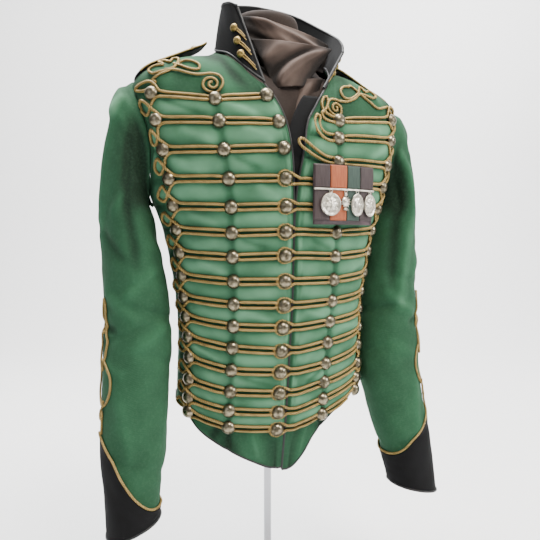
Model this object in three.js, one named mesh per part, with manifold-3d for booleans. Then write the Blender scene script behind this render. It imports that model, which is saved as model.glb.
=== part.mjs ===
// Hussar jacket with frogging, worn by a limbless dress form on a rod and a round base.
// Millimetres, +Z up, the front faces -Y, the wearer's right is -X.
// The origin is the centre of the base's flat underside.
import * as THREE from "three";
import Module from "manifold-3d";
import { mergeVertices } from "three/addons/utils/BufferGeometryUtils.js";

const wasm = await Module();
wasm.setup();

// Driving sizes
const wall = 2.2;
const lift = 0.9;
const topLift = 1.5;
const buttonSeat = 2.4;
const roundness = 0.9;
const puffHeight = 1.5;
const cordWidth = 4.4;
const cordHeight = 3.4;
const cordUnder = 2.05;
const cordSpread = 4.6;
const buttonRadius = 9.5;
const buttonHeight = 6.5;
const neckFrontZ = 802;
const neckSideZ = 863;
const neckSideX = 84;
const neckBackZ = 902;
const shoulderZ = 808;
const shoulderTilt = 0.06;
const armpitZ = 646;
const sideSeam = 97;
const formEase = 9;
const shoulderEase = 9;
const backHemDrop = 16;
const backInset = 0.7;
const collarClear = 2.4;
const sleeveClear = 1.6;
const cuffWall = 1.6;
const cuffClear = 0.9;
const knotWidth = 4;
const knotClear = 1.2;
const sleeveKnotClear = 1.2;
const strapThickness = 3;
const rodRadius = 6;
const rodFoot = 14.3;
const rodTop = 371.6;
const baseRadius = 150;
const baseHeight = 14;

// Body of the jacket: half width, front depth and back depth at each height
const torso = [
  { z: 230, width: 146, front: 82, back: 98 },
  { z: 350, width: 144, front: 98, back: 104 },
  { z: 450, width: 141, front: 108, back: 104 },
  { z: 520, width: 147, front: 113, back: 107 },
  { z: 600, width: 163, front: 118, back: 113 },
  { z: 650, width: 181, front: 121, back: 118 },
  { z: 700, width: 195, front: 121, back: 121 },
  { z: 750, width: 205, front: 113, back: 119 },
  { z: 790, width: 208, front: 101, back: 112 },
  { z: 808, width: 204, front: 92, back: 107 },
  { z: 822, width: 187, front: 82, back: 101 },
  { z: 834, width: 161, front: 70, back: 95 },
  { z: 845, width: 131, front: 56, back: 89 },
  { z: 863, width: 84, front: 24, back: 77 },
  { z: 905, width: 78, front: 18, back: 64 },
];

// Height of each row of cords at the front edge, the middle button and the outer button
const rows = [
  { centre: 783, rightMid: 776, rightOut: 786, leftEdge: 757, leftMid: 755, leftOut: 770 },
  { centre: 746, rightMid: 745, rightOut: 749, leftEdge: 731, leftMid: 729, leftOut: 738 },
  { centre: 710, rightMid: 706, rightOut: 708, leftEdge: 699, leftMid: 695, leftOut: 699 },
  { centre: 669, rightMid: 667, rightOut: 669, leftEdge: 666, leftMid: 663, leftOut: 666 },
  { centre: 631, rightMid: 629, rightOut: 633, leftEdge: 631, leftMid: 629, leftOut: 633 },
  { centre: 596, rightMid: 594, rightOut: 600, leftEdge: 596, leftMid: 595, leftOut: 600 },
  { centre: 563, rightMid: 561, rightOut: 567, leftEdge: 563, leftMid: 561, leftOut: 568 },
  { centre: 527, rightMid: 527, rightOut: 534, leftEdge: 527, leftMid: 527, leftOut: 534 },
  { centre: 493, rightMid: 495, rightOut: 503, leftEdge: 493, leftMid: 496, leftOut: 504 },
  { centre: 461, rightMid: 464, rightOut: 474, leftEdge: 461, leftMid: 466, leftOut: 475 },
  { centre: 428, rightMid: 433, rightOut: 445, leftEdge: 428, leftMid: 435, leftOut: 446 },
  { centre: 397, rightMid: 401, rightOut: 415, leftEdge: 397, leftMid: 404, leftOut: 419 },
  { centre: 366, rightMid: 370, rightOut: 383, leftEdge: 366, leftMid: 376, leftOut: 392 },
  { centre: 338, rightMid: 342, rightOut: 356, leftEdge: 338, leftMid: 350, leftOut: 370 },
  { centre: 312, rightMid: 317, rightOut: 335, leftEdge: 312, leftMid: 327, leftOut: 352 },
];

// How far the front edge, the button columns and the hem lie from the middle, on each side
const fronts = {
  right: {
    sign: -1,
    columns: [
      { z: 240, edge: 6, mid: 84, out: 132 },
      { z: 330, edge: 3, mid: 84, out: 133 },
      { z: 430, edge: 1, mid: 81, out: 131 },
      { z: 500, edge: -1, mid: 80, out: 137 },
      { z: 565, edge: -1, mid: 83, out: 144 },
      { z: 650, edge: 0, mid: 88, out: 159 },
      { z: 712, edge: 3, mid: 97, out: 171 },
      { z: 750, edge: 9, mid: 102, out: 179 },
      { z: 785, edge: 23, mid: 106, out: 184 },
      { z: 806, edge: 38, mid: 110, out: 186 },
    ],
    hem: [
      { x: -10, z: 252 }, { x: 20, z: 251 }, { x: 50, z: 264 }, { x: 84, z: 281 },
      { x: 116, z: 304 }, { x: 134, z: 326 }, { x: 143, z: 352 }, { x: 150, z: 386 },
    ],
  },
  left: {
    sign: 1,
    columns: [
      { z: 240, edge: -5.4, mid: 54, out: 112 },
      { z: 330, edge: -2.4, mid: 54, out: 116 },
      { z: 430, edge: -0.4, mid: 58, out: 132 },
      { z: 500, edge: 1.6, mid: 64, out: 139 },
      { z: 565, edge: 1.6, mid: 67, out: 145 },
      { z: 650, edge: 4, mid: 67, out: 158 },
      { z: 712, edge: 16, mid: 68, out: 171 },
      { z: 750, edge: 24, mid: 72, out: 178 },
      { z: 785, edge: 42, mid: 78, out: 182 },
      { z: 806, edge: 60, mid: 84, out: 184 },
    ],
    hem: [
      { x: -10, z: 248 }, { x: 8, z: 248 }, { x: 26, z: 268 }, { x: 42, z: 294 },
      { x: 82, z: 330 }, { x: 110, z: 345 }, { x: 140, z: 368 }, { x: 150, z: 388 },
    ],
  },
};

// Armhole: angle of its front and back edges on the body at each height
const armhole = [
  { z: 646, front: 97, back: 97 },
  { z: 660, front: 85, back: 108 },
  { z: 690, front: 73, back: 116 },
  { z: 735, front: 68, back: 117 },
  { z: 780, front: 74, back: 108 },
  { z: 800, front: 83, back: 97 },
  { z: 808, front: 90, back: 90 },
];

// Collar: where its top edge stands, from the right front edge round the back to the left
const collarTop = [
  { k: 0, x: -64, y: -54, z: 921 },
  { k: 1, x: -72, y: -44, z: 927 },
  { k: 2, x: -76, y: -22, z: 933 },
  { k: 3, x: -72, y: 4, z: 938 },
  { k: 4, x: -50, y: 50, z: 958 },
  { k: 5, x: 6, y: 70, z: 969 },
  { k: 6, x: 62, y: 52, z: 955 },
  { k: 7, x: 98, y: 4, z: 918 },
  { k: 8, x: 108, y: -22, z: 900 },
  { k: 9, x: 108, y: -42, z: 884 },
  { k: 10, x: 103, y: -56, z: 868 },
];

// Sleeves: centre, half width and half depth of each section below the armhole
const sleeves = {
  right: [
    { z: 636, x: -218, y: 4, width: 35, depth: 66 },
    { z: 600, x: -213, y: 4, width: 40, depth: 63 },
    { z: 550, x: -209, y: 1, width: 44, depth: 60 },
    { z: 505, x: -205, y: -5, width: 47, depth: 57 },
    { z: 465, x: -204, y: -11, width: 48, depth: 55 },
    { z: 425, x: -205, y: -20, width: 49, depth: 53 },
    { z: 380, x: -209, y: -32, width: 47, depth: 50 },
    { z: 330, x: -213, y: -46, width: 46, depth: 47 },
    { z: 285, x: -215, y: -58, width: 44, depth: 44 },
    { z: 245, x: -217, y: -68, width: 38, depth: 41 },
    { z: 196, x: -219, y: -80, width: 34, depth: 38 },
  ],
  left: [
    { z: 636, x: 218, y: 4, width: 35, depth: 66 },
    { z: 600, x: 213, y: 4, width: 41, depth: 63 },
    { z: 550, x: 209, y: 1, width: 44, depth: 60 },
    { z: 505, x: 206, y: -5, width: 47, depth: 57 },
    { z: 465, x: 204, y: -11, width: 48, depth: 55 },
    { z: 425, x: 200, y: -20, width: 50, depth: 53 },
    { z: 380, x: 196, y: -33, width: 50, depth: 50 },
    { z: 335, x: 199, y: -47, width: 46, depth: 47 },
    { z: 290, x: 204, y: -60, width: 43, depth: 44 },
    { z: 245, x: 209, y: -72, width: 38, depth: 41 },
    { z: 200, x: 213, y: -84, width: 34, depth: 38 },
  ],
};

// Cuffs: slope of the open end, and how tall the facing is on the outer and the inner side
const cuffs = {
  right: { tilt: 0.4, tall: 118, low: 14 },
  left: { tilt: -0.2, tall: 118, low: 46 },
};

// Largest creases of the sleeves: height, angle round the sleeve, slope, spread and depth
const creases = [
  { z: 600, angle: 40, slope: 0.5, high: 16, wide: 60, depth: 5 },
  { z: 520, angle: 100, slope: -0.25, high: 9, wide: 55, depth: 3.5 },
  { z: 478, angle: 60, slope: 0.2, high: 9, wide: 60, depth: 5 },
  { z: 452, angle: 120, slope: -0.3, high: 8, wide: 50, depth: 3.5 },
  { z: 415, angle: 55, slope: 0.3, high: 9, wide: 50, depth: 3.5 },
  { z: 272, angle: 70, slope: 0.25, high: 8, wide: 70, depth: 4 },
];

const finishes = {
  green: { color: 0x3f7d57, roughness: 0.95, metalness: 0 },
  black: { color: 0x1c1d20, roughness: 0.9, metalness: 0 },
  gold: { color: 0x9a7a35, roughness: 0.5, metalness: 0.6 },
  brown: { color: 0x57433c, roughness: 0.95, metalness: 0 },
  chrome: { color: 0xc8c8cc, roughness: 0.15, metalness: 1 },
  ribbon: { color: 0x8a4a26, roughness: 0.9, metalness: 0 },
  silver: { color: 0x9c9890, roughness: 0.35, metalness: 0.9 },
};

const jacket = new THREE.Group();
const radians = THREE.MathUtils.degToRad;
const mix = THREE.MathUtils.lerp;
const vec = (x, y, z) => new THREE.Vector3(x, y, z);

// Smooth curve through one column of a table, read at a value of its key column
function read(table, key, column, at) {
  const rising = table[table.length - 1][key] > table[0][key] ? 1 : -1;
  let i = 0;
  while (i < table.length - 2 && (table[i + 1][key] - at) * rising < 0) i++;
  const [a, b] = [table[i], table[i + 1]];
  const before = table[Math.max(i - 1, 0)];
  const after = table[Math.min(i + 2, table.length - 1)];
  const span = b[key] - a[key];
  const t = THREE.MathUtils.clamp((at - a[key]) / span, 0, 1);
  const slopeA = ((b[column] - before[column]) / (b[key] - before[key])) * span;
  const slopeB = ((after[column] - a[column]) / (after[key] - a[key])) * span;
  const [t2, t3] = [t * t, t * t * t];
  return (2 * t3 - 3 * t2 + 1) * a[column] + (t3 - 2 * t2 + t) * slopeA
    + (3 * t2 - 2 * t3) * b[column] + (t3 - t2) * slopeB;
}

// Point on the body's surface at an angle from the front (degrees, + to the wearer's left)
function bodyPoint(angle, z) {
  const [s, c] = [Math.sin(radians(angle)), Math.cos(radians(angle))];
  const depth = c > 0 ? read(torso, "z", "front", z) : read(torso, "z", "back", z);
  const x = read(torso, "z", "width", z) * Math.sign(s) * Math.abs(s) ** roundness;
  const tilt = shoulderTilt * THREE.MathUtils.smoothstep(z, 780, 835);
  return vec(x, -depth * Math.sign(c) * Math.abs(c) ** roundness, z - x * tilt);
}

// Angle on the body where its surface lies at a distance from the middle
function angleAt(x, z) {
  const share = Math.min(Math.abs(x) / read(torso, "z", "width", z), 1);
  return Math.sign(x) * THREE.MathUtils.radToDeg(Math.asin(share ** (1 / roundness)));
}

// Closed wall between a grid of outer points and the same grid moved in along its normals
class Sheet {
  constructor(points, thickness, flip = false) {
    this.points = points;
    this.normals = points.map((line, i) => line.map((_, j) => this.normalAt(i, j, flip)));
    this.thickness = thickness;
    this.flip = flip;
  }

  normalAt(i, j, flip) {
    const p = this.points;
    const along = p[i][Math.min(j + 1, p[i].length - 1)].clone().sub(p[i][Math.max(j - 1, 0)]);
    const up = p[Math.min(i + 1, p.length - 1)][j].clone().sub(p[Math.max(i - 1, 0)][j]);
    return along.cross(up).multiplyScalar(flip ? -1 : 1).normalize();
  }

  // Point and normal at fractional grid coordinates
  at(row, col) {
    const i = THREE.MathUtils.clamp(Math.floor(row), 0, this.points.length - 2);
    const j = THREE.MathUtils.clamp(Math.floor(col), 0, this.points[0].length - 2);
    const [v, u] = [row - i, col - j];
    const blend = (g) => g[i][j].clone().multiplyScalar((1 - u) * (1 - v))
      .addScaledVector(g[i][j + 1], u * (1 - v))
      .addScaledVector(g[i + 1][j], (1 - u) * v)
      .addScaledVector(g[i + 1][j + 1], u * v);
    return { point: blend(this.points), normal: blend(this.normals).normalize() };
  }

  // Point that lies so many millimetres above (or below) a line of the grid
  above(row, col, up) {
    const way = up < 0 ? -1 : 1;
    let left = Math.abs(up);
    let at = row;
    while (left > 0) {
      const next = at + way;
      if (next < 0 || next > this.points.length - 1) break;
      const step = this.at(at, col).point.distanceTo(this.at(next, col).point);
      if (step >= left) return this.at(at + (way * left) / step, col);
      left -= step;
      at = next;
    }
    return this.at(at, col);
  }

  solid() {
    const inner = this.points.map((line, i) => line.map((p, j) =>
      p.clone().addScaledVector(this.normals[i][j], -this.thickness)));
    const [n, m] = [this.points.length, this.points[0].length];
    const positions = [...this.points.flat(), ...inner.flat()];
    const faces = [];
    const outerId = (i, j) => i * m + j;
    const innerId = (i, j) => n * m + i * m + j;
    const quad = (a, b, c, d) => faces.push([a, b, c], [a, c, d]);
    for (let i = 0; i < n - 1; i++) {
      for (let j = 0; j < m - 1; j++) {
        quad(outerId(i, j), outerId(i, j + 1), outerId(i + 1, j + 1), outerId(i + 1, j));
        quad(innerId(i, j), innerId(i + 1, j), innerId(i + 1, j + 1), innerId(i, j + 1));
      }
    }
    for (let j = 0; j < m - 1; j++) {
      quad(outerId(0, j + 1), outerId(0, j), innerId(0, j), innerId(0, j + 1));
      quad(outerId(n - 1, j), outerId(n - 1, j + 1), innerId(n - 1, j + 1), innerId(n - 1, j));
    }
    for (let i = 0; i < n - 1; i++) {
      quad(outerId(i, 0), outerId(i + 1, 0), innerId(i + 1, 0), innerId(i, 0));
      quad(outerId(i + 1, m - 1), outerId(i, m - 1), innerId(i, m - 1), innerId(i + 1, m - 1));
    }
    return facesToGeometry(positions, faces, this.flip);
  }
}

function facesToGeometry(positions, faces, flip = false) {
  const geometry = new THREE.BufferGeometry();
  const flat = positions.flatMap((p) => [p.x, p.y, p.z]);
  geometry.setAttribute("position", new THREE.Float32BufferAttribute(flat, 3));
  geometry.setIndex(faces.flatMap(([a, b, c]) => (flip ? [a, c, b] : [a, b, c])));
  return geometry;
}

// Closed tube wall from outer rings, each ring the same number of points
function tubeWall(rings, thickness) {
  const count = rings[0].length;
  const centres = rings.map((ring) => ring.reduce((sum, p) => sum.add(p), vec(0, 0, 0)).divideScalar(count));
  const normals = rings.map((ring, i) => ring.map((p, k) => {
    const along = ring[(k + 1) % count].clone().sub(ring[(k + count - 1) % count]);
    const down = rings[Math.min(i + 1, rings.length - 1)][k].clone().sub(rings[Math.max(i - 1, 0)][k]);
    const n = along.cross(down).normalize();
    return n.dot(p.clone().sub(centres[i])) < 0 ? n.negate() : n;
  }));
  const inner = rings.map((ring, i) => ring.map((p, k) =>
    p.clone().addScaledVector(normals[i][k], -thickness)));
  const positions = [...rings.flat(), ...inner.flat()];
  const shift = rings.length * count;
  const id = (i, k) => i * count + (k % count);
  const faces = [];
  const quad = (a, b, c, d) => faces.push([a, b, c], [a, c, d]);
  for (let k = 0; k < count; k++) {
    for (let i = 0; i < rings.length - 1; i++) {
      quad(id(i, k), id(i, k + 1), id(i + 1, k + 1), id(i + 1, k));
      quad(shift + id(i, k), shift + id(i + 1, k), shift + id(i + 1, k + 1), shift + id(i, k + 1));
    }
    const last = rings.length - 1;
    quad(id(0, k + 1), id(0, k), shift + id(0, k), shift + id(0, k + 1));
    quad(id(last, k), id(last, k + 1), shift + id(last, k + 1), shift + id(last, k));
  }
  const geometry = facesToGeometry(positions, faces);
  return { geometry: outward(geometry), rings, normals };
}

// Signed volume decides which way a closed mesh faces
function outward(geometry) {
  const [p, index] = [geometry.attributes.position, geometry.index.array];
  const corner = (i) => new THREE.Vector3().fromBufferAttribute(p, index[i]);
  let volume = 0;
  for (let i = 0; i < index.length; i += 3) volume += corner(i).dot(corner(i + 1).cross(corner(i + 2)));
  if (volume < 0) {
    for (let i = 0; i < index.length; i += 3) [index[i + 1], index[i + 2]] = [index[i + 2], index[i + 1]];
  }
  return geometry;
}

// Solid skin over rings that close at both ends
function ringSolid(rings) {
  const count = rings[0].length;
  const middle = (ring) => ring.reduce((sum, p) => sum.add(p), vec(0, 0, 0)).divideScalar(count);
  const positions = [...rings.flat(), middle(rings[0]), middle(rings[rings.length - 1])];
  const [first, last] = [rings.length * count, rings.length * count + 1];
  const id = (i, k) => i * count + (k % count);
  const faces = [];
  for (let k = 0; k < count; k++) {
    for (let i = 0; i < rings.length - 1; i++) {
      faces.push([id(i, k), id(i, k + 1), id(i + 1, k + 1)], [id(i, k), id(i + 1, k + 1), id(i + 1, k)]);
    }
    faces.push([first, id(0, k + 1), id(0, k)], [last, id(rings.length - 1, k), id(rings.length - 1, k + 1)]);
  }
  return outward(facesToGeometry(positions, faces));
}

function toManifold(geometry) {
  const bare = new THREE.BufferGeometry();
  bare.setAttribute("position", geometry.attributes.position.clone());
  bare.setIndex(geometry.index);
  const merged = mergeVertices(bare, 1e-4);
  return new wasm.Manifold(new wasm.Mesh({
    numProp: 3,
    vertProperties: new Float32Array(merged.attributes.position.array),
    triVerts: new Uint32Array(merged.index.array),
  }));
}

function fromManifold(solid) {
  const mesh = solid.getMesh();
  const geometry = new THREE.BufferGeometry();
  geometry.setAttribute("position", new THREE.Float32BufferAttribute(mesh.vertProperties, 3));
  geometry.setIndex(Array.from(mesh.triVerts));
  return geometry;
}

function fuse(pieces) {
  return fromManifold(pieces.map(toManifold).reduce((sum, piece) => sum.add(piece)));
}

function add(name, geometry, finish) {
  geometry.computeVertexNormals();
  const mesh = new THREE.Mesh(geometry, new THREE.MeshStandardMaterial(finish));
  mesh.name = name;
  jacket.add(mesh);
}

// Cord with a flat foot that follows points with normals, lifted off the cloth
function cord(path, width = cordWidth, height = cordHeight, clear = lift) {
  const rings = path.map(({ point, normal, low }, i) => {
    const next = path[Math.min(i + 1, path.length - 1)].point;
    const last = path[Math.max(i - 1, 0)].point;
    const along = next.clone().sub(last).normalize();
    const side = along.clone().cross(normal).normalize();
    const foot = point.clone().addScaledVector(normal, clear);
    return [
      foot.clone().addScaledVector(side, -width / 2),
      foot.clone().addScaledVector(side, width / 2),
      foot.clone().addScaledVector(normal, low ? cordUnder - clear : height),
    ];
  });
  return ringSolid(rings);
}

// Domed button that stands on the cloth
function button({ point, normal }, radius = buttonRadius, height = buttonHeight, sides = 6) {
  const profile = [[0, 0], [radius, 0], [radius * 0.7, height * 0.8], [0, height]]
    .map(([r, h]) => new THREE.Vector2(r, h));
  const dome = mergeVertices(bareLathe(profile, sides));
  const turn = new THREE.Quaternion().setFromUnitVectors(vec(0, 1, 0), normal);
  const seat = point.clone().addScaledVector(normal, buttonSeat);
  dome.applyMatrix4(new THREE.Matrix4().compose(seat, turn, vec(1, 1, 1)));
  return outward(dome);
}

function bareLathe(profile, sides) {
  const lathe = new THREE.LatheGeometry(profile, sides);
  lathe.deleteAttribute("normal");
  lathe.deleteAttribute("uv");
  return lathe;
}

// Neckline: in front from an edge up to the shoulder seam, and round the back
const neckShares = [0, 0.45, 0.8, 1];

function neckFront(side, share) {
  const { sign, columns } = fronts[side];
  const from = read(columns, "z", "edge", neckFrontZ);
  return { x: sign * mix(from, neckSideX, share), z: mix(neckFrontZ, neckSideZ, share ** 1.6) };
}

function neckBack(angle) {
  return mix(neckSideZ, neckBackZ, Math.sin(radians(Math.abs(angle) - 90)));
}

// Front: columns run from the edge through the buttons to the side seam or the armhole
const columnStops = [0, 1, 1.5, 2, 2.5, 3, 3.5, 4];
const midColumn = 3;
const outColumn = 5;
const lastColumn = columnStops.length - 1;
const centreButton = 13;

function frontGrid(side) {
  const { sign, columns, hem } = fronts[side];
  const stopAngles = (z, outer) => [
    angleAt(sign * read(columns, "z", "edge", z), z),
    angleAt(sign * (read(columns, "z", "edge", z) + centreButton), z),
    angleAt(sign * read(columns, "z", "mid", z), z),
    angleAt(sign * read(columns, "z", "out", z), z),
    sign * outer,
  ];
  const angleOf = (stops, stop) => {
    const k = Math.min(Math.floor(stop), 3);
    return mix(stops[k], stops[k + 1], stop - k);
  };
  const outerEdge = (z) => (z > armpitZ ? read(armhole, "z", "front", Math.min(z, shoulderZ)) : sideSeam);
  const keys = side === "right" ? ["centre", "rightMid", "rightOut"] : ["leftEdge", "leftMid", "leftOut"];
  const heights = rows.map((row) => {
    const [inner, mid, out] = keys.map((key) => row[key]);
    const ends = [inner, inner, mid, out, out + (out - mid) * 0.3];
    return columnStops.map((stop) => {
      const k = Math.min(Math.floor(stop), 3);
      return mix(ends[k], ends[k + 1], stop - k);
    });
  });
  const lines = [];
  const place = (zs, puff) => zs.map((z, c) => {
    const angle = angleOf(stopAngles(z, outerEdge(z)), columnStops[c]);
    return { angle, z, puff };
  });
  const hemLine = columnStops.map((stop) => {
    let z = hem[2].z;
    let angle = 0;
    for (let pass = 0; pass < 12; pass++) {
      angle = angleOf(stopAngles(z, sideSeam), stop);
      const x = stop === 0 ? 0 : Math.abs(bodyPoint(angle, z).x);
      z = mix(z, read(hem, "x", "z", x), 0.7);
    }
    return { angle, z, puff: 0 };
  });
  lines.push(hemLine);
  const lowest = place(heights[rows.length - 1], 0);
  lines.push(hemLine.map((p, c) => ({
    angle: mix(p.angle, lowest[c].angle, 0.5), z: mix(p.z, lowest[c].z, 0.5), puff: 0.5,
  })));
  for (let r = rows.length - 1; r >= 0; r--) {
    lines.push(place(heights[r], 0));
    if (r > 0) lines.push(place(heights[r].map((z, c) => (z + heights[r - 1][c]) / 2), 1));
  }
  const row1 = lines[lines.length - 1];
  const top = columnStops.map((_, c) => {
    if (c <= midColumn) return neckFront(side, neckShares[c]);
    const z = mix(neckSideZ, shoulderZ, (c - midColumn) / (lastColumn - midColumn));
    return { x: sign * read(torso, "z", "width", z), z };
  });
  for (const share of [0.33, 0.67, 1]) {
    lines.push(row1.map((p, c) => {
      const z = mix(p.z, top[c].z, share);
      const x = mix(bodyPoint(p.angle, p.z).x, top[c].x, share);
      const angle = c === lastColumn ? sign * read(armhole, "z", "front", z) : angleAt(x, z);
      return { angle, z, puff: share < 1 ? 0.4 : 0 };
    }));
  }
  return lines;
}

function bodySheet(lines, flip) {
  const points = lines.map((line) => line.map(({ angle, z, puff }) => {
    const p = bodyPoint(angle, z);
    const swell = 1 + (puff * puffHeight) / 150;
    return p.multiply(vec(swell, swell, 1));
  }));
  return new Sheet(points, wall, flip);
}

function makeFronts() {
  const sheets = {};
  for (const side of ["right", "left"]) {
    const sheet = bodySheet(frontGrid(side), side === "right");
    sheets[side] = sheet;
    add(`front_${side}`, sheet.solid(), finishes.green);
  }
  return sheets;
}

// Back: from one side seam round to the other, up to the shoulder seams and the neck
function makeBack() {
  const bends = [-1, -0.87, -0.75, -0.62, -0.5, -0.25, 0, 0.25, 0.5, 0.62, 0.75, 0.87, 1];
  const levels = [0, 0.2, 0.4, 0.6, 0.8, 1];
  const hemZ = (b) => 386 - backHemDrop * (1 - b * b);
  const lines = [];
  for (const level of levels) {
    lines.push(bends.map((b) => {
      const z = mix(hemZ(b), armpitZ, level);
      return { angle: 180 + b * (180 - sideSeam - backInset), z, puff: 0 };
    }));
  }
  for (const z of [668, 705, 750, 790]) {
    const edge = read(armhole, "z", "back", z) + backInset;
    lines.push(bends.map((b) => ({ angle: 180 + b * (180 - edge), z, puff: 0 })));
  }
  const neckShare = 0.5;
  const top = bends.map((b) => {
    const share = Math.abs(b);
    if (share <= neckShare) {
      const angle = 180 - mix(0, 90 - backInset, share / neckShare);
      return { x: Math.sign(b) * bodyPoint(angle, neckBack(angle)).x, z: neckBack(angle), angle };
    }
    const z = mix(neckSideZ, shoulderZ, (share - neckShare) / (1 - neckShare));
    return { x: Math.sign(b) * read(torso, "z", "width", z), z, angle: 90 + backInset };
  });
  const yoke = lines[lines.length - 1];
  for (const share of [0.3, 0.65, 1]) {
    lines.push(yoke.map((p, c) => {
      const z = mix(p.z, top[c].z, share);
      const x = mix(-bodyPoint(p.angle, p.z).x, top[c].x, share);
      const turn = share < 1 ? Math.max(180 - Math.abs(angleAt(x, z)), 90 + backInset) : top[c].angle;
      const edge = c === 0 || c === bends.length - 1;
      const angle = edge ? Math.max(read(armhole, "z", "back", z), 90) + backInset : turn;
      return { angle: bends[c] > 0 ? 360 - angle : angle, z, puff: 0 };
    }));
  }
  const sheet = bodySheet(lines, false);
  add("back", sheet.solid(), finishes.green);
  return sheet;
}

// Collar: stands on the neckline, taller in front, leaning in on the right and out on the left
function neckStations() {
  const front = (side) => neckShares.map((share) => {
    const { x, z } = neckFront(side, share);
    return bodyPoint(share === 1 ? Math.sign(x) * 90 : angleAt(x, z), z);
  });
  const back = [-135, 180, 135].map((angle) => bodyPoint(angle, neckBack(angle)));
  return [...front("right"), ...back, ...front("left").reverse()];
}

function makeCollar() {
  const perStation = 2;
  const feet = neckStations().map((foot) => foot.add(vec(0, 0, collarClear)));
  const steps = (feet.length - 1) * perStation;
  const lines = [0, 0.5, 1].map((share) => Array.from({ length: steps + 1 }, (_, i) => {
    const k = Math.min(Math.floor(i / perStation), feet.length - 2);
    const base = feet[k].clone().lerp(feet[k + 1], i / perStation - k);
    const at = (i / steps) * (collarTop.length - 1);
    const top = ["x", "y", "z"].map((column) => read(collarTop, "k", column, at));
    return base.lerp(vec(...top), share);
  }));
  const sheet = new Sheet(lines, wall, true);
  add("collar", sheet.solid(), finishes.black);
  return sheet;
}

// Depth of the sleeve's creases at an angle round it and a height
function sleeveCrease(angle, z) {
  const turn = Math.min(angle, 360 - angle);
  return creases.reduce((sum, c) => {
    const across = (turn - c.angle) / c.wide;
    const along = (z - c.z - c.slope * (turn - c.angle)) / c.high;
    return sum + c.depth * Math.exp(-across * across - along * along);
  }, 0);
}

// Angle round the sleeve of each point of its rings: 0 at the armpit, 90 in front, 180 outside
function sleeveTurns(frontCount, backCount) {
  const front = Array.from({ length: frontCount }, (_, i) => (180 * i) / (frontCount - 1));
  const back = Array.from({ length: backCount }, (_, j) => 180 + (180 * (j + 1)) / (backCount + 1));
  return [...front, ...back];
}

function sleeveRing(side, section, turns) {
  const sign = side === "right" ? -1 : 1;
  return turns.map((turn) => {
    const [c, s] = [Math.cos(radians(turn)), Math.sin(radians(turn))];
    const dent = sleeveCrease(turn, section.z);
    const shape = (v) => Math.sign(v) * Math.abs(v) ** 0.95;
    return vec(section.x - sign * shape(c) * (section.width - dent),
      section.y - shape(s) * (section.depth - dent), section.z);
  });
}

// The armhole's own points on the front and the back, from the armpit over the shoulder
function armholePoints(side, front, back) {
  const edge = (line) => line[line.length - 1];
  const backEdge = side === "left" ? (line) => line[0] : edge;
  const frontPoints = front.points.map(edge).slice(2 + 2 * (rows.length - 5));
  const backPoints = back.points.map(backEdge).filter((p) => p.z >= armpitZ - 0.01).slice(0, -1).reverse();
  return { frontPoints, backPoints };
}

// Sleeve: turns down from the armhole, then follows its sections with the largest creases
function makeSleeve(side, front, back) {
  const sections = sleeves[side];
  const sign = side === "right" ? -1 : 1;
  const { frontPoints, backPoints } = armholePoints(side, front, back);
  const turns = sleeveTurns(frontPoints.length, backPoints.length);
  const start = [...frontPoints, ...backPoints].map((p) => p.clone().add(vec(sign * sleeveClear, 0, 0)));
  const hang = sleeveRing(side, sections[0], turns);
  const rings = [0, 0.3].map((t) => start.map((a, k) => {
    const b = hang[k];
    const bend = vec(mix(a.x, b.x, 0.86), mix(a.y, b.y, 0.6), mix(a.z, b.z, 0.1));
    return a.clone().multiplyScalar((1 - t) * (1 - t))
      .addScaledVector(bend, 2 * t * (1 - t)).addScaledVector(b, t * t);
  }));
  const heights = [636, 605, 560, 515, 490, 470, 450, 425, 385, 335, 290, 262, 230];
  const lowest = sections[sections.length - 1].z;
  for (const z of [...heights, lowest]) {
    const value = (column) => read(sections, "z", column, z);
    const section = { z, x: value("x"), y: value("y"), width: value("width"), depth: value("depth") };
    const slant = THREE.MathUtils.clamp((290 - z) / (290 - lowest), 0, 1) * cuffs[side].tilt;
    rings.push(sleeveRing(side, section, turns).map((p) => p.setZ(p.z + (p.x - section.x) * slant)));
  }
  const sleeve = tubeWall(rings, wall);
  add(`sleeve_${side}`, sleeve.geometry, finishes.green);
  return { ...sleeve, turns };
}

// Cuff: a facing over the sleeve's end, tall on the outer side and low on the inner side
function makeCuff(side, sleeve) {
  const { rings, normals, turns } = sleeve;
  const last = rings.length - 1;
  const { tall, low } = cuffs[side];
  const topOf = (k) => mix(low, tall, ((1 - Math.cos(radians(turns[k]))) / 2) ** 1.3);
  const span = (k) => rings[last][k].distanceTo(rings[last - 4][k]);
  const cuffRings = [1, 0.66, 0.33, 0].map((share) => rings[last].map((_, k) => {
    const back = (topOf(k) * share) / span(k) * 4;
    const i = Math.min(Math.floor(back), 3);
    const outer = (level) => rings[level][k].clone()
      .addScaledVector(normals[level][k], cuffClear + cuffWall);
    return outer(last - i).lerp(outer(last - i - 1), back - i);
  }));
  add(`cuff_${side}`, tubeWall(cuffRings, cuffWall).geometry, finishes.black);
}

// Way of the cord round the loop outside each outer button: columns out, millimetres up
const loopShape = [[0.12, 8], [0.2, 15], [0.42, 20], [0.66, 17], [0.72, 9], [0.5, 1.5], [0.22, -2.6]];
const cordRest = 2.6;

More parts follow.
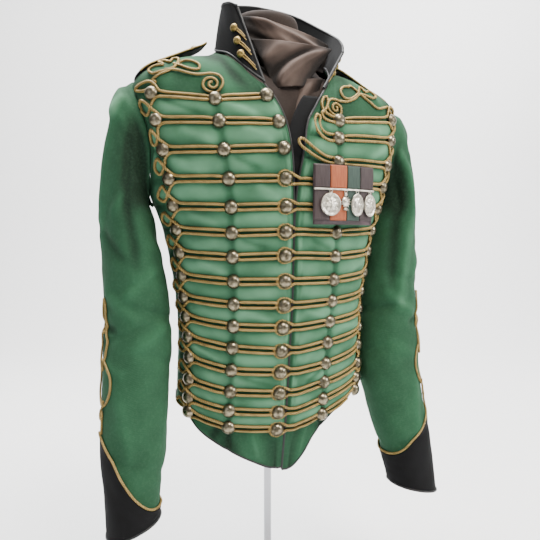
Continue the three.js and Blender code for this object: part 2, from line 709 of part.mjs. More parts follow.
// Frogs: on each row two cords part and meet between domed buttons and end in a loop
function makeFrogs(side, sheet) {
  rows.forEach((row, r) => {
    const line = 2 + 2 * (rows.length - 1 - r);
    const upper = [...(side === "right" ? [1] : [0.25, 1]), 2, midColumn, 4, outColumn]
      .map((col) => [col, [2, 4].includes(col) ? cordSpread : cordRest]);
    const lower = upper.map(([col, off]) => [col, -off]).reverse();
    const room = sheet.at(line, outColumn).point.distanceTo(sheet.at(line + 2, outColumn).point);
    const size = Math.min(1, (room - 6) / 26);
    const loop = loopShape.map(([out, up]) => [outColumn + out, up > 2 ? mix(2.6, up, size) : up]);
    const buttonColumns = [1, midColumn, outColumn];
    const path = [...upper, ...loop, ...lower].map(([col, off]) => (
      { ...sheet.above(line, col, off), low: off < 0 && buttonColumns.includes(col) }));
    const pieces = [cord(path, cordWidth, cordHeight, r === 0 ? topLift : lift)];
    const spots = side === "right" ? [1, midColumn, outColumn] : [midColumn, outColumn];
    for (const col of spots) pieces.push(button(sheet.at(line, col)));
    add(`frog_${side}_${String(r + 1).padStart(2, "0")}`, fuse(pieces), finishes.gold);
  });
}

// Point and outward normal on the body, at a distance from the middle and a height
function bodyAt(x, z) {
  const angle = angleAt(x, z);
  const across = bodyPoint(angle + 1, z).sub(bodyPoint(angle - 1, z));
  const up = bodyPoint(angle, z + 1).sub(bodyPoint(angle, z - 1));
  return { point: bodyPoint(angle, z), normal: across.cross(up).normalize() };
}

// Knots of cord on the chest: a spiral, a three-leaved knot and an end, on each side
const chestKnots = {
  right: { spiral: [-107, 804], leaf: [-154, 818], end: [-178, 810] },
  left: { spiral: [68, 783], leaf: [112, 806], end: [158, 797] },
};

function makeChestKnot(side) {
  const { spiral, leaf, end } = chestKnots[side];
  const sign = side === "right" ? -1 : 1;
  const onBody = ([x, z]) => bodyAt(x, z);
  const coil = Array.from({ length: 10 }, (_, i) => {
    const turn = radians(-90 + (i * 420) / 9);
    const r = mix(4, 11, i / 9);
    return [spiral[0] - sign * r * Math.sin(turn), spiral[1] + r * Math.cos(turn)];
  });
  const leaves = Array.from({ length: 14 }, (_, i) => {
    const turn = (i / 13) * Math.PI * 1.85 + 0.3;
    const r = 8 + 6.5 * Math.cos(3 * turn);
    return [leaf[0] + sign * r * Math.sin(turn) * 1.2, leaf[1] + r * Math.cos(turn)];
  });
  const link = (from, to) => [0, 0.5, 1].map((t) => [mix(from[0], to[0], t), mix(from[1], to[1], t)]);
  const runs = [coil, link(coil[9], leaf), leaves, link(leaf, end)];
  const cords = runs.map((run) => cord(run.map(onBody), knotWidth, 3.8, knotClear));
  add(`chest_knot_${side}`, fuse(cords), finishes.gold);
}

// Knots on the forearms: a long loop over a round one, laid on the sleeve's outer side
const sleeveKnot = {
  turn: 152, roundZ: 386, roundHigh: 31, roundWide: 24, longZ: 458, longHigh: 44, longWide: 11,
};

function sleeveAt(sleeve, turn, z) {
  const { rings, normals, turns } = sleeve;
  const k = turns.findIndex((t, i) => t <= turn && (turns[i + 1] ?? 360) > turn);
  const u = (turn - turns[k]) / (turns[k + 1] - turns[k]);
  const height = (i) => mix(rings[i][k].z, rings[i][k + 1].z, u);
  let i = rings.length - 2;
  while (i > 3 && height(i) < z) i--;
  const v = THREE.MathUtils.clamp((height(i) - z) / (height(i) - height(i + 1)), 0, 1);
  const blend = (g) => g[i][k].clone().multiplyScalar((1 - u) * (1 - v))
    .addScaledVector(g[i][k + 1], u * (1 - v))
    .addScaledVector(g[i + 1][k], (1 - u) * v)
    .addScaledVector(g[i + 1][k + 1], u * v);
  return { point: blend(rings), normal: blend(normals).normalize() };
}

function makeSleeveKnot(side, sleeve) {
  const { turn, roundZ, roundHigh, roundWide, longZ, longHigh, longWide } = sleeveKnot;
  const loop = (z, high, wide, count) => Array.from({ length: count }, (_, i) => {
    const a = radians(184 + (i * 352) / (count - 1));
    return sleeveAt(sleeve, turn + wide * Math.sin(a), z + high * Math.cos(a));
  });
  const stem = [360, 350, 340, 330].map((z) => sleeveAt(sleeve, turn, z));
  const runs = [loop(roundZ, roundHigh, roundWide, 11), loop(longZ, longHigh, longWide, 9),
    stem];
  const neck = [roundZ + roundHigh - 7, longZ - longHigh + 10].map((z) => sleeveAt(sleeve, turn, z));
  const cords = [...runs, neck].map((run) => cord(run, knotWidth, cordHeight, sleeveKnotClear));
  add(`sleeve_knot_${side}`, fuse(cords), finishes.gold);
}

// Shoulder straps: stiff pointed tabs over the shoulder seams, lifting at the inner end
const strapRows = [
  { x: 203, half: 17, rise: 2.4 }, { x: 188, half: 19, rise: 2.2 }, { x: 160, half: 20, rise: 2.6 },
  { x: 122, half: 20, rise: 8 }, { x: 106, half: 15, rise: 12 }, { x: 97, half: 4, rise: 15 },
];

// Height of the shoulder's ridge at a distance from the middle
function ridgeAt(x) {
  let [low, high] = [shoulderZ - 20, neckSideZ];
  for (let pass = 0; pass < 20; pass++) {
    const z = (low + high) / 2;
    if (read(torso, "z", "width", z) > Math.abs(x)) low = z;
    else high = z;
  }
  return bodyPoint(Math.sign(x) * 90, low).z;
}

function makeStrap(side) {
  const sign = side === "right" ? -1 : 1;
  const points = strapRows.map(({ x, half, rise }) => [-1, 0, 1].map((v) => {
    const top = ridgeAt(sign * x) + rise + strapThickness;
    return vec(sign * x, v * half, v === 0 ? top : top - 1);
  }));
  const sheet = new Sheet(points, strapThickness, side === "right");
  const spot = sheet.at(3.4, 1);
  const plate = outward(sheet.solid());
  const sunk = spot.point.clone().addScaledVector(spot.normal, -buttonSeat - 0.6);
  const knob = button({ point: sunk, normal: spot.normal }, 7, 5.5);
  add(`shoulder_strap_${side}`, fuse([plate, knob]), finishes.black);
}

// Collar trim: three small domes beside each front edge of the collar, each on its cord
function makeCollarTrim(side, sheet) {
  const last = sheet.points[0].length - 1;
  const out = (col) => (side === "right" ? col : last - col);
  [0.38, 1.03, 1.66].forEach((row, i) => {
    const spot = sheet.at(row, out(2.2));
    const run = [2.2, 2, 1, 0.3].map((col) => sheet.at(row, out(col)));
    const sunk = spot.point.clone().addScaledVector(spot.normal, -1);
    const dome = button({ point: sunk, normal: spot.normal }, 5, 4.5);
    add(`collar_dome_${side}_${i + 1}`, fuse([dome, cord(run, 3.6, 3, 1)]), finishes.gold);
  });
}

// Medal bar: a backing with four ribbons over it, and a medal hung from each
const medalBar = { from: 24, to: 122, top: 690, ribbonFoot: 657, foot: 606, clear: 9.1, thick: 2.4 };
const ribbonEdges = [24, 48, 75, 97, 122];
const pinOut = 1.9;

// Medals: place of the middle along the bar, half width and half height of the disc
const medals = [
  { x: 49, half: 16, tall: 16 }, { x: 72.5, half: 8.6, tall: 12 },
  { x: 92, half: 11.6, tall: 16 }, { x: 115, half: 12.6, tall: 16 },
];

function makeMedals() {
  const { from, to, top, ribbonFoot, foot, clear, thick } = medalBar;
  const columns = Array.from({ length: 9 }, (_, i) => mix(from, to, i / 8));
  const raise = ({ point, normal }, out) => point.clone().addScaledVector(normal, out);
  const backing = (out, zs, cols) => zs.map((z) => cols.map((x) => {
    const spot = bodyAt(x, (z + top) / 2);
    return raise(spot, out).setZ(z);
  }));
  const plate = new Sheet(backing(clear + thick, [foot, ribbonFoot, top], columns), thick).solid();
  const pieces = [outward(plate)];
  for (let m = 0; m < medals.length; m++) {
    const edges = [0.03, 0.5, 0.97].map((share) => mix(ribbonEdges[m], ribbonEdges[m + 1], share));
    const ribbon = new Sheet(backing(clear + thick + 1, [ribbonFoot, top - 2], edges), 1.6).solid();
    pieces.push(outward(ribbon));
  }
  add("medal_bar", fuse(pieces), finishes.ribbon);
  medals.forEach(({ x, half, tall }, m) => {
    const spot = bodyAt(x, (ribbonFoot + top) / 2);
    const out = spot.normal.clone().setZ(0).normalize();
    const along = vec(0, 0, 1).cross(out).normalize();
    const axis = raise(spot, clear + thick + pinOut).setZ(ribbonFoot - 3);
    const disc = new THREE.CylinderGeometry(1, 1, 2.2, 12).scale(half, 1, tall);
    const pin = new THREE.CylinderGeometry(1.3, 1.3, 7, 6).rotateZ(Math.PI / 2);
    const shank = new THREE.BoxGeometry(2.6, 1.8, 4);
    const basis = new THREE.Matrix4().makeBasis(along, out.clone().negate(), vec(0, 0, 1));
    const set = (g, move) => {
      g.translate(...move);
      g.applyMatrix4(basis);
      g.translate(axis.x, axis.y, axis.z);
      return outward(mergeVertices(stripped(g)));
    };
    const parts = [set(disc, [0, 0, -3.6 - tall]), set(pin, [0, 0, 0]), set(shank, [0, 0, -2.6])];
    add(`medal_${m + 1}`, fuse(parts), finishes.silver);
  });
}

// Dress form: the body's shape moved in under the cloth, with a neck stump, flat below
const formNeck = [
  { z: 868, w: 66, d: 44, y: 14 },
  { z: 885, w: 58, d: 46, y: 12 }, { z: 905, w: 54, d: 48, y: 12 },
  { z: 925, w: 52, d: 48, y: 12 }, { z: 932, w: 44, d: 40, y: 12 },
];

function makeForm() {
  const count = 18;
  const ease = (z) => mix(formEase, shoulderEase, THREE.MathUtils.smoothstep(z, 640, 790));
  const heights = [372, 376, 450, 520, 600, 660, 720, 770, 794, 808, 822, 836, 848, 857];
  const ring = (z) => Array.from({ length: count }, (_, k) => {
    const angle = (k / count) * 360;
    const p = bodyPoint(angle, z);
    const near = bodyPoint(angle + 1, z).sub(bodyPoint(angle - 1, z));
    const rise = bodyPoint(angle, z + 1).sub(bodyPoint(angle, z - 1));
    const normal = near.cross(rise).normalize();
    return p.addScaledVector(normal, -(wall + ease(z)));
  });
  const rings = heights.map(ring);
  for (const { z, w, d, y } of formNeck) {
    rings.push(Array.from({ length: count }, (_, k) => {
      const a = (k / count) * Math.PI * 2;
      return vec(w * Math.sin(a), y - d * Math.cos(a), z);
    }));
  }
  add("dress_form", ringSolid(rings), finishes.brown);
}

function makeStand() {
  const rod = new THREE.CylinderGeometry(rodRadius, rodRadius, rodTop - rodFoot, 14);
  rod.rotateX(Math.PI / 2).translate(0, 0, (rodTop + rodFoot) / 2);
  add("rod", outward(mergeVertices(stripped(rod))), finishes.chrome);
  const profile = [
    [0, 0], [baseRadius, 0], [baseRadius, 6], [baseRadius - 10, 10], [20, baseHeight], [0, baseHeight],
  ].map(([r, z]) => new THREE.Vector2(r, z));
  const base = mergeVertices(bareLathe(profile, 26));
  base.rotateX(Math.PI / 2);
  add("base", outward(base), finishes.chrome);
}

function stripped(geometry) {
  geometry.deleteAttribute("normal");
  geometry.deleteAttribute("uv");
  return geometry;
}

const sheets = makeFronts();
const back = makeBack();
const collar = makeCollar();
for (const side of ["right", "left"]) {
  const sleeve = makeSleeve(side, sheets[side], back);
  makeCuff(side, sleeve);
  makeSleeveKnot(side, sleeve);
  makeStrap(side);
  makeChestKnot(side);
  makeFrogs(side, sheets[side]);
  makeCollarTrim(side, collar);
}
makeMedals();
makeForm();
makeStand();

export default jacket;
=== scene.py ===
"""Hussar jacket with gold cord frogging, worn open at the neck on a limbless dress form.

Shapes are worked out in millimetres, in the row's own frame, and become metres when a mesh is made.
"""

import logging
import math
from dataclasses import dataclass, field
from enum import Enum

import bpy
import numpy as np
from mathutils import Matrix, Vector


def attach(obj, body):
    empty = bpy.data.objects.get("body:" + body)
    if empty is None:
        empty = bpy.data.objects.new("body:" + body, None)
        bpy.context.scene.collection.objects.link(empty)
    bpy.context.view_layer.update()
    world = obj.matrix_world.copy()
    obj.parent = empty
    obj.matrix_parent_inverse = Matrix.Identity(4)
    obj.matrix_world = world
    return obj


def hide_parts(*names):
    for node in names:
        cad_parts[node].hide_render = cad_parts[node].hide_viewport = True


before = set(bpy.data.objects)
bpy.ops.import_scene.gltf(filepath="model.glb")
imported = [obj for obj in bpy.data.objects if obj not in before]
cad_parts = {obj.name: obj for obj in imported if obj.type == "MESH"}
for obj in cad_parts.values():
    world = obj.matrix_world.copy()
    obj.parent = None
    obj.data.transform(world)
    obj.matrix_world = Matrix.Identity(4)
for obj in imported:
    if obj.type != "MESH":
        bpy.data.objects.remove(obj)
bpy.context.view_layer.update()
LOG = logging.getLogger("jacket")
MM = 0.001
JACKET = "jacket"


class Side(Enum):
    """The wearer's right and left, with the sign of X on each."""

    RIGHT = -1
    LEFT = 1

    @property
    def label(self) -> str:
        """Word used in the names of nodes and pieces."""
        return self.name.lower()


# Shared maths


def ease(x: np.ndarray, low: float, high: float) -> np.ndarray:
    """Smooth step from 0 at low to 1 at high."""
    t = np.clip((np.asarray(x, float) - low) / (high - low), 0, 1)
    return t * t * (3 - 2 * t)


def unit(v: np.ndarray) -> np.ndarray:
    """Vectors scaled to length one."""
    return v / np.maximum(np.linalg.norm(v, axis=-1, keepdims=True), 1e-9)


def blend(a: np.ndarray, b: np.ndarray, t: np.ndarray) -> np.ndarray:
    """Straight mix of a and b."""
    return a + (b - a) * t


class Table:
    """Smooth curve through the rows of a table, read at a value of its first column."""

    def __init__(self, rows: list) -> None:
        """Sorts the rows by their first column.

        Args:
            rows: tuples of a key and its values.
        """
        self.rows = np.array(sorted(rows), float)

    def __call__(self, at: np.ndarray, column: int = 1) -> np.ndarray:
        """Reads one column.

        Args:
            at: keys to read at.
            column: which column.

        Returns:
            The values there.
        """
        keys, vals = self.rows[:, 0], self.rows[:, column]
        at = np.asarray(at, float)
        i = np.clip(np.searchsorted(keys, at, side="left") - 1, 0, len(keys) - 2)
        before, after = np.maximum(i - 1, 0), np.minimum(i + 2, len(keys) - 1)
        span = keys[i + 1] - keys[i]
        t = np.clip((at - keys[i]) / span, 0, 1)
        rise_a = (vals[i + 1] - vals[before]) / (keys[i + 1] - keys[before]) * span
        rise_b = (vals[after] - vals[i]) / (keys[after] - keys[i]) * span
        t2, t3 = t * t, t * t * t
        return ((2 * t3 - 3 * t2 + 1) * vals[i] + (t3 - 2 * t2 + t) * rise_a
                + (3 * t2 - 2 * t3) * vals[i + 1] + (t3 - t2) * rise_b)


def through(points: list, step: float) -> np.ndarray:
    """Smooth curve through points, cut into even steps.

    Args:
        points: points of any dimension.
        step: wanted spacing.

    Returns:
        The points along the curve.
    """
    p = np.array(points, float)
    ends = np.vstack([2 * p[0] - p[1], p, 2 * p[-1] - p[-2]])
    out = []
    for i in range(len(p) - 1):
        a, b, c, d = ends[i:i + 4]
        t = np.linspace(0, 1, 13)[:-1, None]
        out.append(0.5 * (2 * b + (c - a) * t + (2 * a - 5 * b + 4 * c - d) * t ** 2
                          + (3 * b - a - 3 * c + d) * t ** 3))
    line = np.vstack(out + [p[-1:]])
    along = np.concatenate([[0], np.cumsum(np.linalg.norm(np.diff(line, axis=0), axis=1))])
    count = max(int(along[-1] / step), 3)
    at = np.linspace(0, along[-1], count + 1)
    return np.stack([np.interp(at, along, line[:, k]) for k in range(line.shape[1])], -1)


# The body of the jacket, shared by its fronts, back and dress form

ROUNDNESS = 0.9
TILT = 0.06
ARMPIT_Z, SHOULDER_Z, SIDE_SEAM = 646, 808, 97
NECK_FRONT_Z, NECK_SIDE_Z, NECK_SIDE_X, NECK_BACK_Z = 802, 863, 84, 902
WALL = 2.2

# Height, half width, front depth and back depth
TORSO = Table([
    (230, 146, 82, 98), (350, 144, 98, 104), (450, 141, 108, 104), (520, 147, 113, 107),
    (600, 163, 118, 113), (650, 181, 121, 118), (700, 195, 121, 121), (750, 205, 113, 119),
    (790, 208, 101, 112), (808, 204, 92, 107), (822, 187, 82, 101), (834, 161, 70, 95),
    (845, 131, 56, 89), (863, 84, 24, 77), (905, 78, 18, 64),
])
# Height, and the angle of the armhole's front and back edges
ARMHOLE = Table([
    (646, 97, 97), (660, 85, 108), (690, 73, 116), (735, 68, 117), (780, 74, 108),
    (800, 83, 97), (808, 90, 90),
])


def body_point(angle: np.ndarray, z: np.ndarray) -> np.ndarray:
    """Point of the body's surface.

    Args:
        angle: degrees from the front, positive to the wearer's left.
        z: height in mm.

    Returns:
        Points in mm.
    """
    a = np.radians(angle)
    s, c = np.sin(a), np.cos(a)
    depth = np.where(c > 0, TORSO(z, 2), TORSO(z, 3))
    x = TORSO(z, 1) * np.sign(s) * np.abs(s) ** ROUNDNESS
    y = -depth * np.sign(c) * np.abs(c) ** ROUNDNESS
    return np.stack(np.broadcast_arrays(x, y, z - x * TILT * ease(z, 780, 835)), -1)


def angle_at(x: np.ndarray, z: np.ndarray) -> np.ndarray:
    """Angle at which the body lies x mm from the middle at height z."""
    share = np.minimum(np.abs(x) / TORSO(z, 1), 1)
    return np.sign(x) * np.degrees(np.arcsin(share ** (1 / ROUNDNESS)))


def body_normal(angle: np.ndarray, z: np.ndarray) -> np.ndarray:
    """Outward normal of the body at an angle and a height."""
    across = body_point(angle + 1, z) - body_point(angle - 1, z)
    up = body_point(angle, z + 1) - body_point(angle, z - 1)
    return unit(np.cross(across, up))


def body_at(x: float, z: float) -> tuple:
    """Point and outward normal of the body x mm from the middle at height z."""
    angle = float(angle_at(x, z))
    return body_point(angle, z), body_normal(angle, z)


class Surface:
    """Outer side of a piece of cloth, reached by two parameters."""

    facing = 1.0
    loop = False

    def point(self, u: np.ndarray, v: np.ndarray) -> np.ndarray:
        """Points in mm at the parameters."""
        raise NotImplementedError

    def relief(self, u: np.ndarray, v: np.ndarray) -> np.ndarray:
        """How far puffs and creases stand out there, in mm."""
        return np.zeros(np.broadcast(u, v).shape)

    def smooth_frame(self, u: np.ndarray, v: np.ndarray) -> tuple:
        """Point, outward normal and the two rates of travel, without the relief."""
        e = 0.012
        p = self.point(u, v)
        du = self.point(u + e, v) - self.point(u - e, v)
        dv = self.point(u, v + e) - self.point(u, v - e)
        n = unit(np.cross(du, dv)) * self.facing
        size = [np.linalg.norm(d, axis=-1) / (2 * e) for d in (du, dv)]
        return p, n, size[0], size[1]

    def worn(self, u: np.ndarray, v: np.ndarray) -> tuple:
        """Point with its relief, and the outward normal of the smooth form."""
        p, n, _, _ = self.smooth_frame(u, v)
        return p + n * self.relief(u, v)[..., None], n


def ridge(x: np.ndarray, y: np.ndarray, ends: tuple, wide: float) -> np.ndarray:
    """Soft ridge along a segment.

    Args:
        x: first coordinate.
        y: second coordinate.
        ends: (x0, y0, x1, y1).
        wide: half width of the ridge.

    Returns:
        Height from 0 to 1.
    """
    x0, y0, x1, y1 = ends
    dx, dy = x1 - x0, y1 - y0
    t = ((x - x0) * dx + (y - y0) * dy) / (dx * dx + dy * dy)
    inside = ease(t, -0.15, 0.2) * (1 - ease(t, 0.8, 1.15))
    t = np.clip(t, 0, 1)
    gap = np.hypot(x - x0 - t * dx, y - y0 - t * dy)
    return inside * np.exp(-(gap / wide) ** 2)


def ripple(x: np.ndarray, y: np.ndarray, size: float) -> np.ndarray:
    """Quiet uneven swell of hand-pressed wool, from fixed waves."""
    x, y = np.asarray(x) / size, np.asarray(y) / size
    return (np.sin(x * 1.7 + 0.6 * np.sin(y * 1.3)) * np.cos(y * 1.1 + 0.4)
            + 0.6 * np.sin(x * 3.1 - y * 2.3 + 1.7) + 0.4 * np.sin(y * 4.7 + x * 1.9)) / 2


# Meshes


def bare_object(name: str, points: np.ndarray, edges: list | None = None,
                faces: list | None = None) -> bpy.types.Object:
    """Object at the origin with nothing but points in mm, edges and smooth faces."""
    mesh = bpy.data.meshes.new(name)
    mesh.from_pydata((np.asarray(points, float) * MM).tolist(), edges or [], faces or [])
    mesh.polygons.foreach_set("use_smooth", [True] * len(mesh.polygons))
    obj = bpy.data.objects.new(name, mesh)
    bpy.context.scene.collection.objects.link(obj)
    return obj


def make_mesh(name: str, points: np.ndarray, faces: list, uv: np.ndarray | None = None,
              relief: np.ndarray | None = None, body: str = JACKET) -> bpy.types.Object:
    """Makes an object that stands at the origin and rides on a body.

    Args:
        name: the object's name.
        points: vertices in mm.
        faces: vertex numbers of each face.
        uv: one coordinate in metres for each corner of each face.
        relief: one height in mm for each vertex.
        body: the CAD body that carries it.

    Returns:
        The new object.
    """
    obj = bare_object(name, points, faces=faces)
    mesh = obj.data
    if uv is not None:
        layer = mesh.uv_layers.new(name="cut")
        layer.data.foreach_set("uv", np.asarray(uv, np.float32).ravel())
    if relief is not None:
        mesh.attributes.new("relief", "FLOAT", "POINT").data.foreach_set(
            "value", np.asarray(relief, np.float32).ravel())
    mesh.update()
    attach(obj, body)
    return obj


def signed_volume(points: np.ndarray, faces: list) -> float:
    """Volume inside the faces, negative where they look inward."""
    total = 0.0
    for size in {len(f) for f in faces}:
        f = np.array([q for q in faces if len(q) == size])
        for k in range(1, size - 1):
            a, b, c = points[f[:, 0]], points[f[:, k]], points[f[:, k + 1]]
            total += float(np.einsum("ij,ij->i", a, np.cross(b, c)).sum())
    return total / 6


def shell(name: str, outer: np.ndarray, normal: np.ndarray, thick: float, loop: bool = False,
          relief: np.ndarray | None = None) -> bpy.types.Object:
    """Closed sheet of cloth between an outer grid and the same grid moved in.

    Args:
        name: the object's name.
        outer: points, shaped rows by columns by 3.
        normal: outward directions of the same shape.
        thick: the cloth's thickness in mm.
        loop: True where the last column meets the first.
        relief: heights of the same rows and columns, kept for the wool's painted shade in dips and painted
            highlight on ridges.

    Returns:
        The object.
    """
    n, m = outer.shape[:2]
    inner = outer - normal * thick
    points = np.vstack([outer.reshape(-1, 3), inner.reshape(-1, 3)])
    across = np.linalg.norm(np.diff(outer, axis=1), axis=2)
    down = np.linalg.norm(np.diff(outer, axis=0), axis=2)
    s = np.hstack([np.zeros((n, 1)), np.cumsum(across, axis=1)]) * MM
    t = np.vstack([np.zeros((1, m)), np.cumsum(down, axis=0)]) * MM
    faces, corners = [], []
    shift = n * m
    wide = m if loop else m - 1

    def put(cells: list) -> None:
        """Adds one face from (layer, row, column) corners."""
        faces.append([layer * shift + i * m + j % m for layer, i, j in cells])
        for _, i, j in cells:
            over = s[i, m - 1] + across[i].mean() * MM if j == m else s[i, j]
            corners.append((over, t[i, j % m]))

    for i in range(n - 1):
        for j in range(wide):
            put([(0, i, j), (0, i, j + 1), (0, i + 1, j + 1), (0, i + 1, j)])
            put([(1, i, j), (1, i + 1, j), (1, i + 1, j + 1), (1, i, j + 1)])
    for j in range(wide):
        put([(0, 0, j + 1), (0, 0, j), (1, 0, j), (1, 0, j + 1)])
        put([(0, n - 1, j), (0, n - 1, j + 1), (1, n - 1, j + 1), (1, n - 1, j)])
    if not loop:
        for i in range(n - 1):
            put([(0, i, 0), (0, i + 1, 0), (1, i + 1, 0), (1, i, 0)])
            put([(0, i + 1, m - 1), (0, i, m - 1), (1, i, m - 1), (1, i + 1, m - 1)])
    uv = np.array(corners)
    if signed_volume(points, faces) < 0:
        faces = [f[::-1] for f in faces]
        uv = uv.reshape(-1, 4, 2)[:, ::-1].reshape(-1, 2)
    both = None if relief is None else np.concatenate([relief.ravel(), relief.ravel()])
    return make_mesh(name, points, faces, uv, both)


def lathe(profile: list, count: int) -> tuple:
    """Turned form round Z.

    Args:
        profile: (radius, height) from the bottom to the top, in mm; a radius of 0 closes it.
        count: faces round it.

    Returns:
        Points and faces.
    """
    points, rings, faces = [], [], []
    for r, h in profile:
        if r < 1e-6:
            rings.append([len(points)] * count)
            points.append((0, 0, h))
            continue
        rings.append(list(range(len(points), len(points) + count)))
        for k in range(count):
            a = 2 * math.pi * k / count
            points.append((r * math.cos(a), r * math.sin(a), h))
    for low, high in zip(rings, rings[1:]):
        for k in range(count):
            j = (k + 1) % count
            quad = [low[k], low[j], high[j], high[k]]
            face = [q for i, q in enumerate(quad) if q not in quad[:i]]
            if len(face) > 2:
                faces.append(face)
    return np.array(points, float), faces


def join_parts(parts: list) -> tuple:
    """Puts several (points, faces) together as one mesh's data."""
    points, faces, start = [], [], 0
    for p, f in parts:
        points.append(p)
        faces += [[q + start for q in face] for face in f]
        start += len(p)
    return np.vstack(points), faces


def placed(part: tuple, basis: np.ndarray, origin: np.ndarray) -> tuple:
    """Moves (points, faces) into a frame whose axes are the rows of basis."""
    points, faces = part
    return points @ basis + origin, faces


# Materials


def shade(code: str) -> tuple:
    """Linear colour of an sRGB hex code.

    Args:
        code: six hex digits after a hash sign.

    Returns:
        Red, green, blue and alpha.
    """
    parts = [int(code[i:i + 2], 16) / 255 for i in (1, 3, 5)]
    return tuple(c / 12.92 if c <= 0.04045 else ((c + 0.055) / 1.055) ** 2.4 for c in parts) + (1.0,)


def add_node(tree: bpy.types.NodeTree, kind: str, inputs: dict | None = None,
             **settings: object) -> bpy.types.Node:
    """Adds a node with its settings and links.

    Args:
        tree: the node tree.
        kind: the node's type.
        inputs: values or sockets to link, by the input's name or number.
        settings: properties of the node.

    Returns:
        The node.
    """
    node = tree.nodes.new(kind)
    for key, value in settings.items():
        setattr(node, key, value)
    for key, value in (inputs or {}).items():
        if isinstance(value, bpy.types.NodeSocket):
            tree.links.new(value, node.inputs[key])
        else:
            node.inputs[key].default_value = value
    return node


def new_material(name: str, **sockets: object) -> tuple:
    """Starts a material.

    Args:
        name: the material's name.
        sockets: uniform values for the shader, with spaces written as underscores.

    Returns:
        Material, its tree and the shader node.
    """
    material = bpy.data.materials.new(name)
    material.use_nodes = True
    tree = material.node_tree
    shader = tree.nodes["Principled BSDF"]
    for key, value in sockets.items():
        shader.inputs[key.replace("_", " ")].default_value = value
    return material, tree, shader


def mixed(tree: bpy.types.NodeTree, factor: object, a: object, b: object) -> bpy.types.NodeSocket:
    """Colour mix of a and b, as a socket."""
    return add_node(tree, "ShaderNodeMix", {0: factor, 6: a, 7: b}, data_type="RGBA").outputs[2]


def ranged(tree: bpy.types.NodeTree, value: object, low: float, high: float, to_low: float = 0.0,
           to_high: float = 1.0) -> bpy.types.NodeSocket:
    """Value moved from one range to another and held within it, as a socket."""
    return add_node(tree, "ShaderNodeMapRange", {0: value, 1: low, 2: high, 3: to_low, 4: to_high},
                    interpolation_type="SMOOTHSTEP").outputs[0]


@dataclass(frozen=True)
class Wool:
    """Napped wool twill: a fine diagonal rib under short fibres, with painted shade in the dips of its puffs
    and folds and a painted highlight on their ridges.
    """

    name: str
    deep: str
    middle: str
    light: str
    rib: float = 1.1
    sheen: float = 0.25
    rough: float = 0.92

    def build(self) -> bpy.types.Material:
        """Makes the material.

        Returns:
            The wool.
        """
        material, tree, shader = new_material(
            self.name, Roughness=self.rough, Sheen_Weight=self.sheen, Sheen_Roughness=0.45,
            Sheen_Tint=shade(self.light), Specular_IOR_Level=0.25)
        place = add_node(tree, "ShaderNodeTexCoord")
        cut = add_node(tree, "ShaderNodeUVMap", uv_map="cut").outputs[0]
        # Pressed and napped areas a hand wide change the tone of real wool
        broad = add_node(tree, "ShaderNodeTexNoise",
                         {"Vector": place.outputs["Object"], "Scale": 22.0, "Detail": 3.0}).outputs[0]
        fine = add_node(tree, "ShaderNodeTexNoise",
                        {"Vector": place.outputs["Object"], "Scale": 260.0, "Detail": 4.0,
                         "Roughness": 0.7}).outputs[0]
        fibre = add_node(tree, "ShaderNodeTexNoise",
                         {"Vector": place.outputs["Object"], "Scale": 1500.0, "Detail": 2.0}).outputs[0]
        # Painted shade and highlight: the baked height darkens the dips between puffs, seams and creases, and
        # lightens the crests
        height = add_node(tree, "ShaderNodeAttribute", attribute_name="relief").outputs["Fac"]
        tone = mixed(tree, ranged(tree, height, -2.2, 1.6), shade(self.deep), shade(self.middle))
        tone = mixed(tree, ranged(tree, height, 1.4, 5.4, 0.0, 0.75), tone, shade(self.light))
        tone = mixed(tree, ranged(tree, broad, 0.35, 0.7, 0.0, 0.25), tone, shade(self.deep))
        tone = mixed(tree, ranged(tree, fine, 0.4, 0.75, 0.0, 0.05), tone, shade(self.light))
        tree.links.new(tone, shader.inputs["Base Color"])
        # The twill's rib runs across the cut at 45 degrees, about a millimetre apart
        turned = add_node(tree, "ShaderNodeMapping", {"Vector": cut, "Rotation": (0, 0, math.radians(45))})
        rib = add_node(tree, "ShaderNodeTexWave",
                       {"Vector": turned.outputs[0], "Scale": 1000 / (self.rib * 6.4), "Distortion": 0.6,
                        "Detail": 1.0}, bands_direction="X").outputs["Fac"]
        weave = add_node(tree, "ShaderNodeBump", {"Height": rib, "Strength": 0.25, "Distance": 0.0002})
        nap = add_node(tree, "ShaderNodeBump", {"Height": fibre, "Strength": 0.35, "Distance": 0.0003,
                                                "Normal": weave.outputs[0]})
        soft = add_node(tree, "ShaderNodeBump", {"Height": fine, "Strength": 0.15, "Distance": 0.0012,
                                                 "Normal": nap.outputs[0]})
        tree.links.new(soft.outputs[0], shader.inputs["Normal"])
        return material


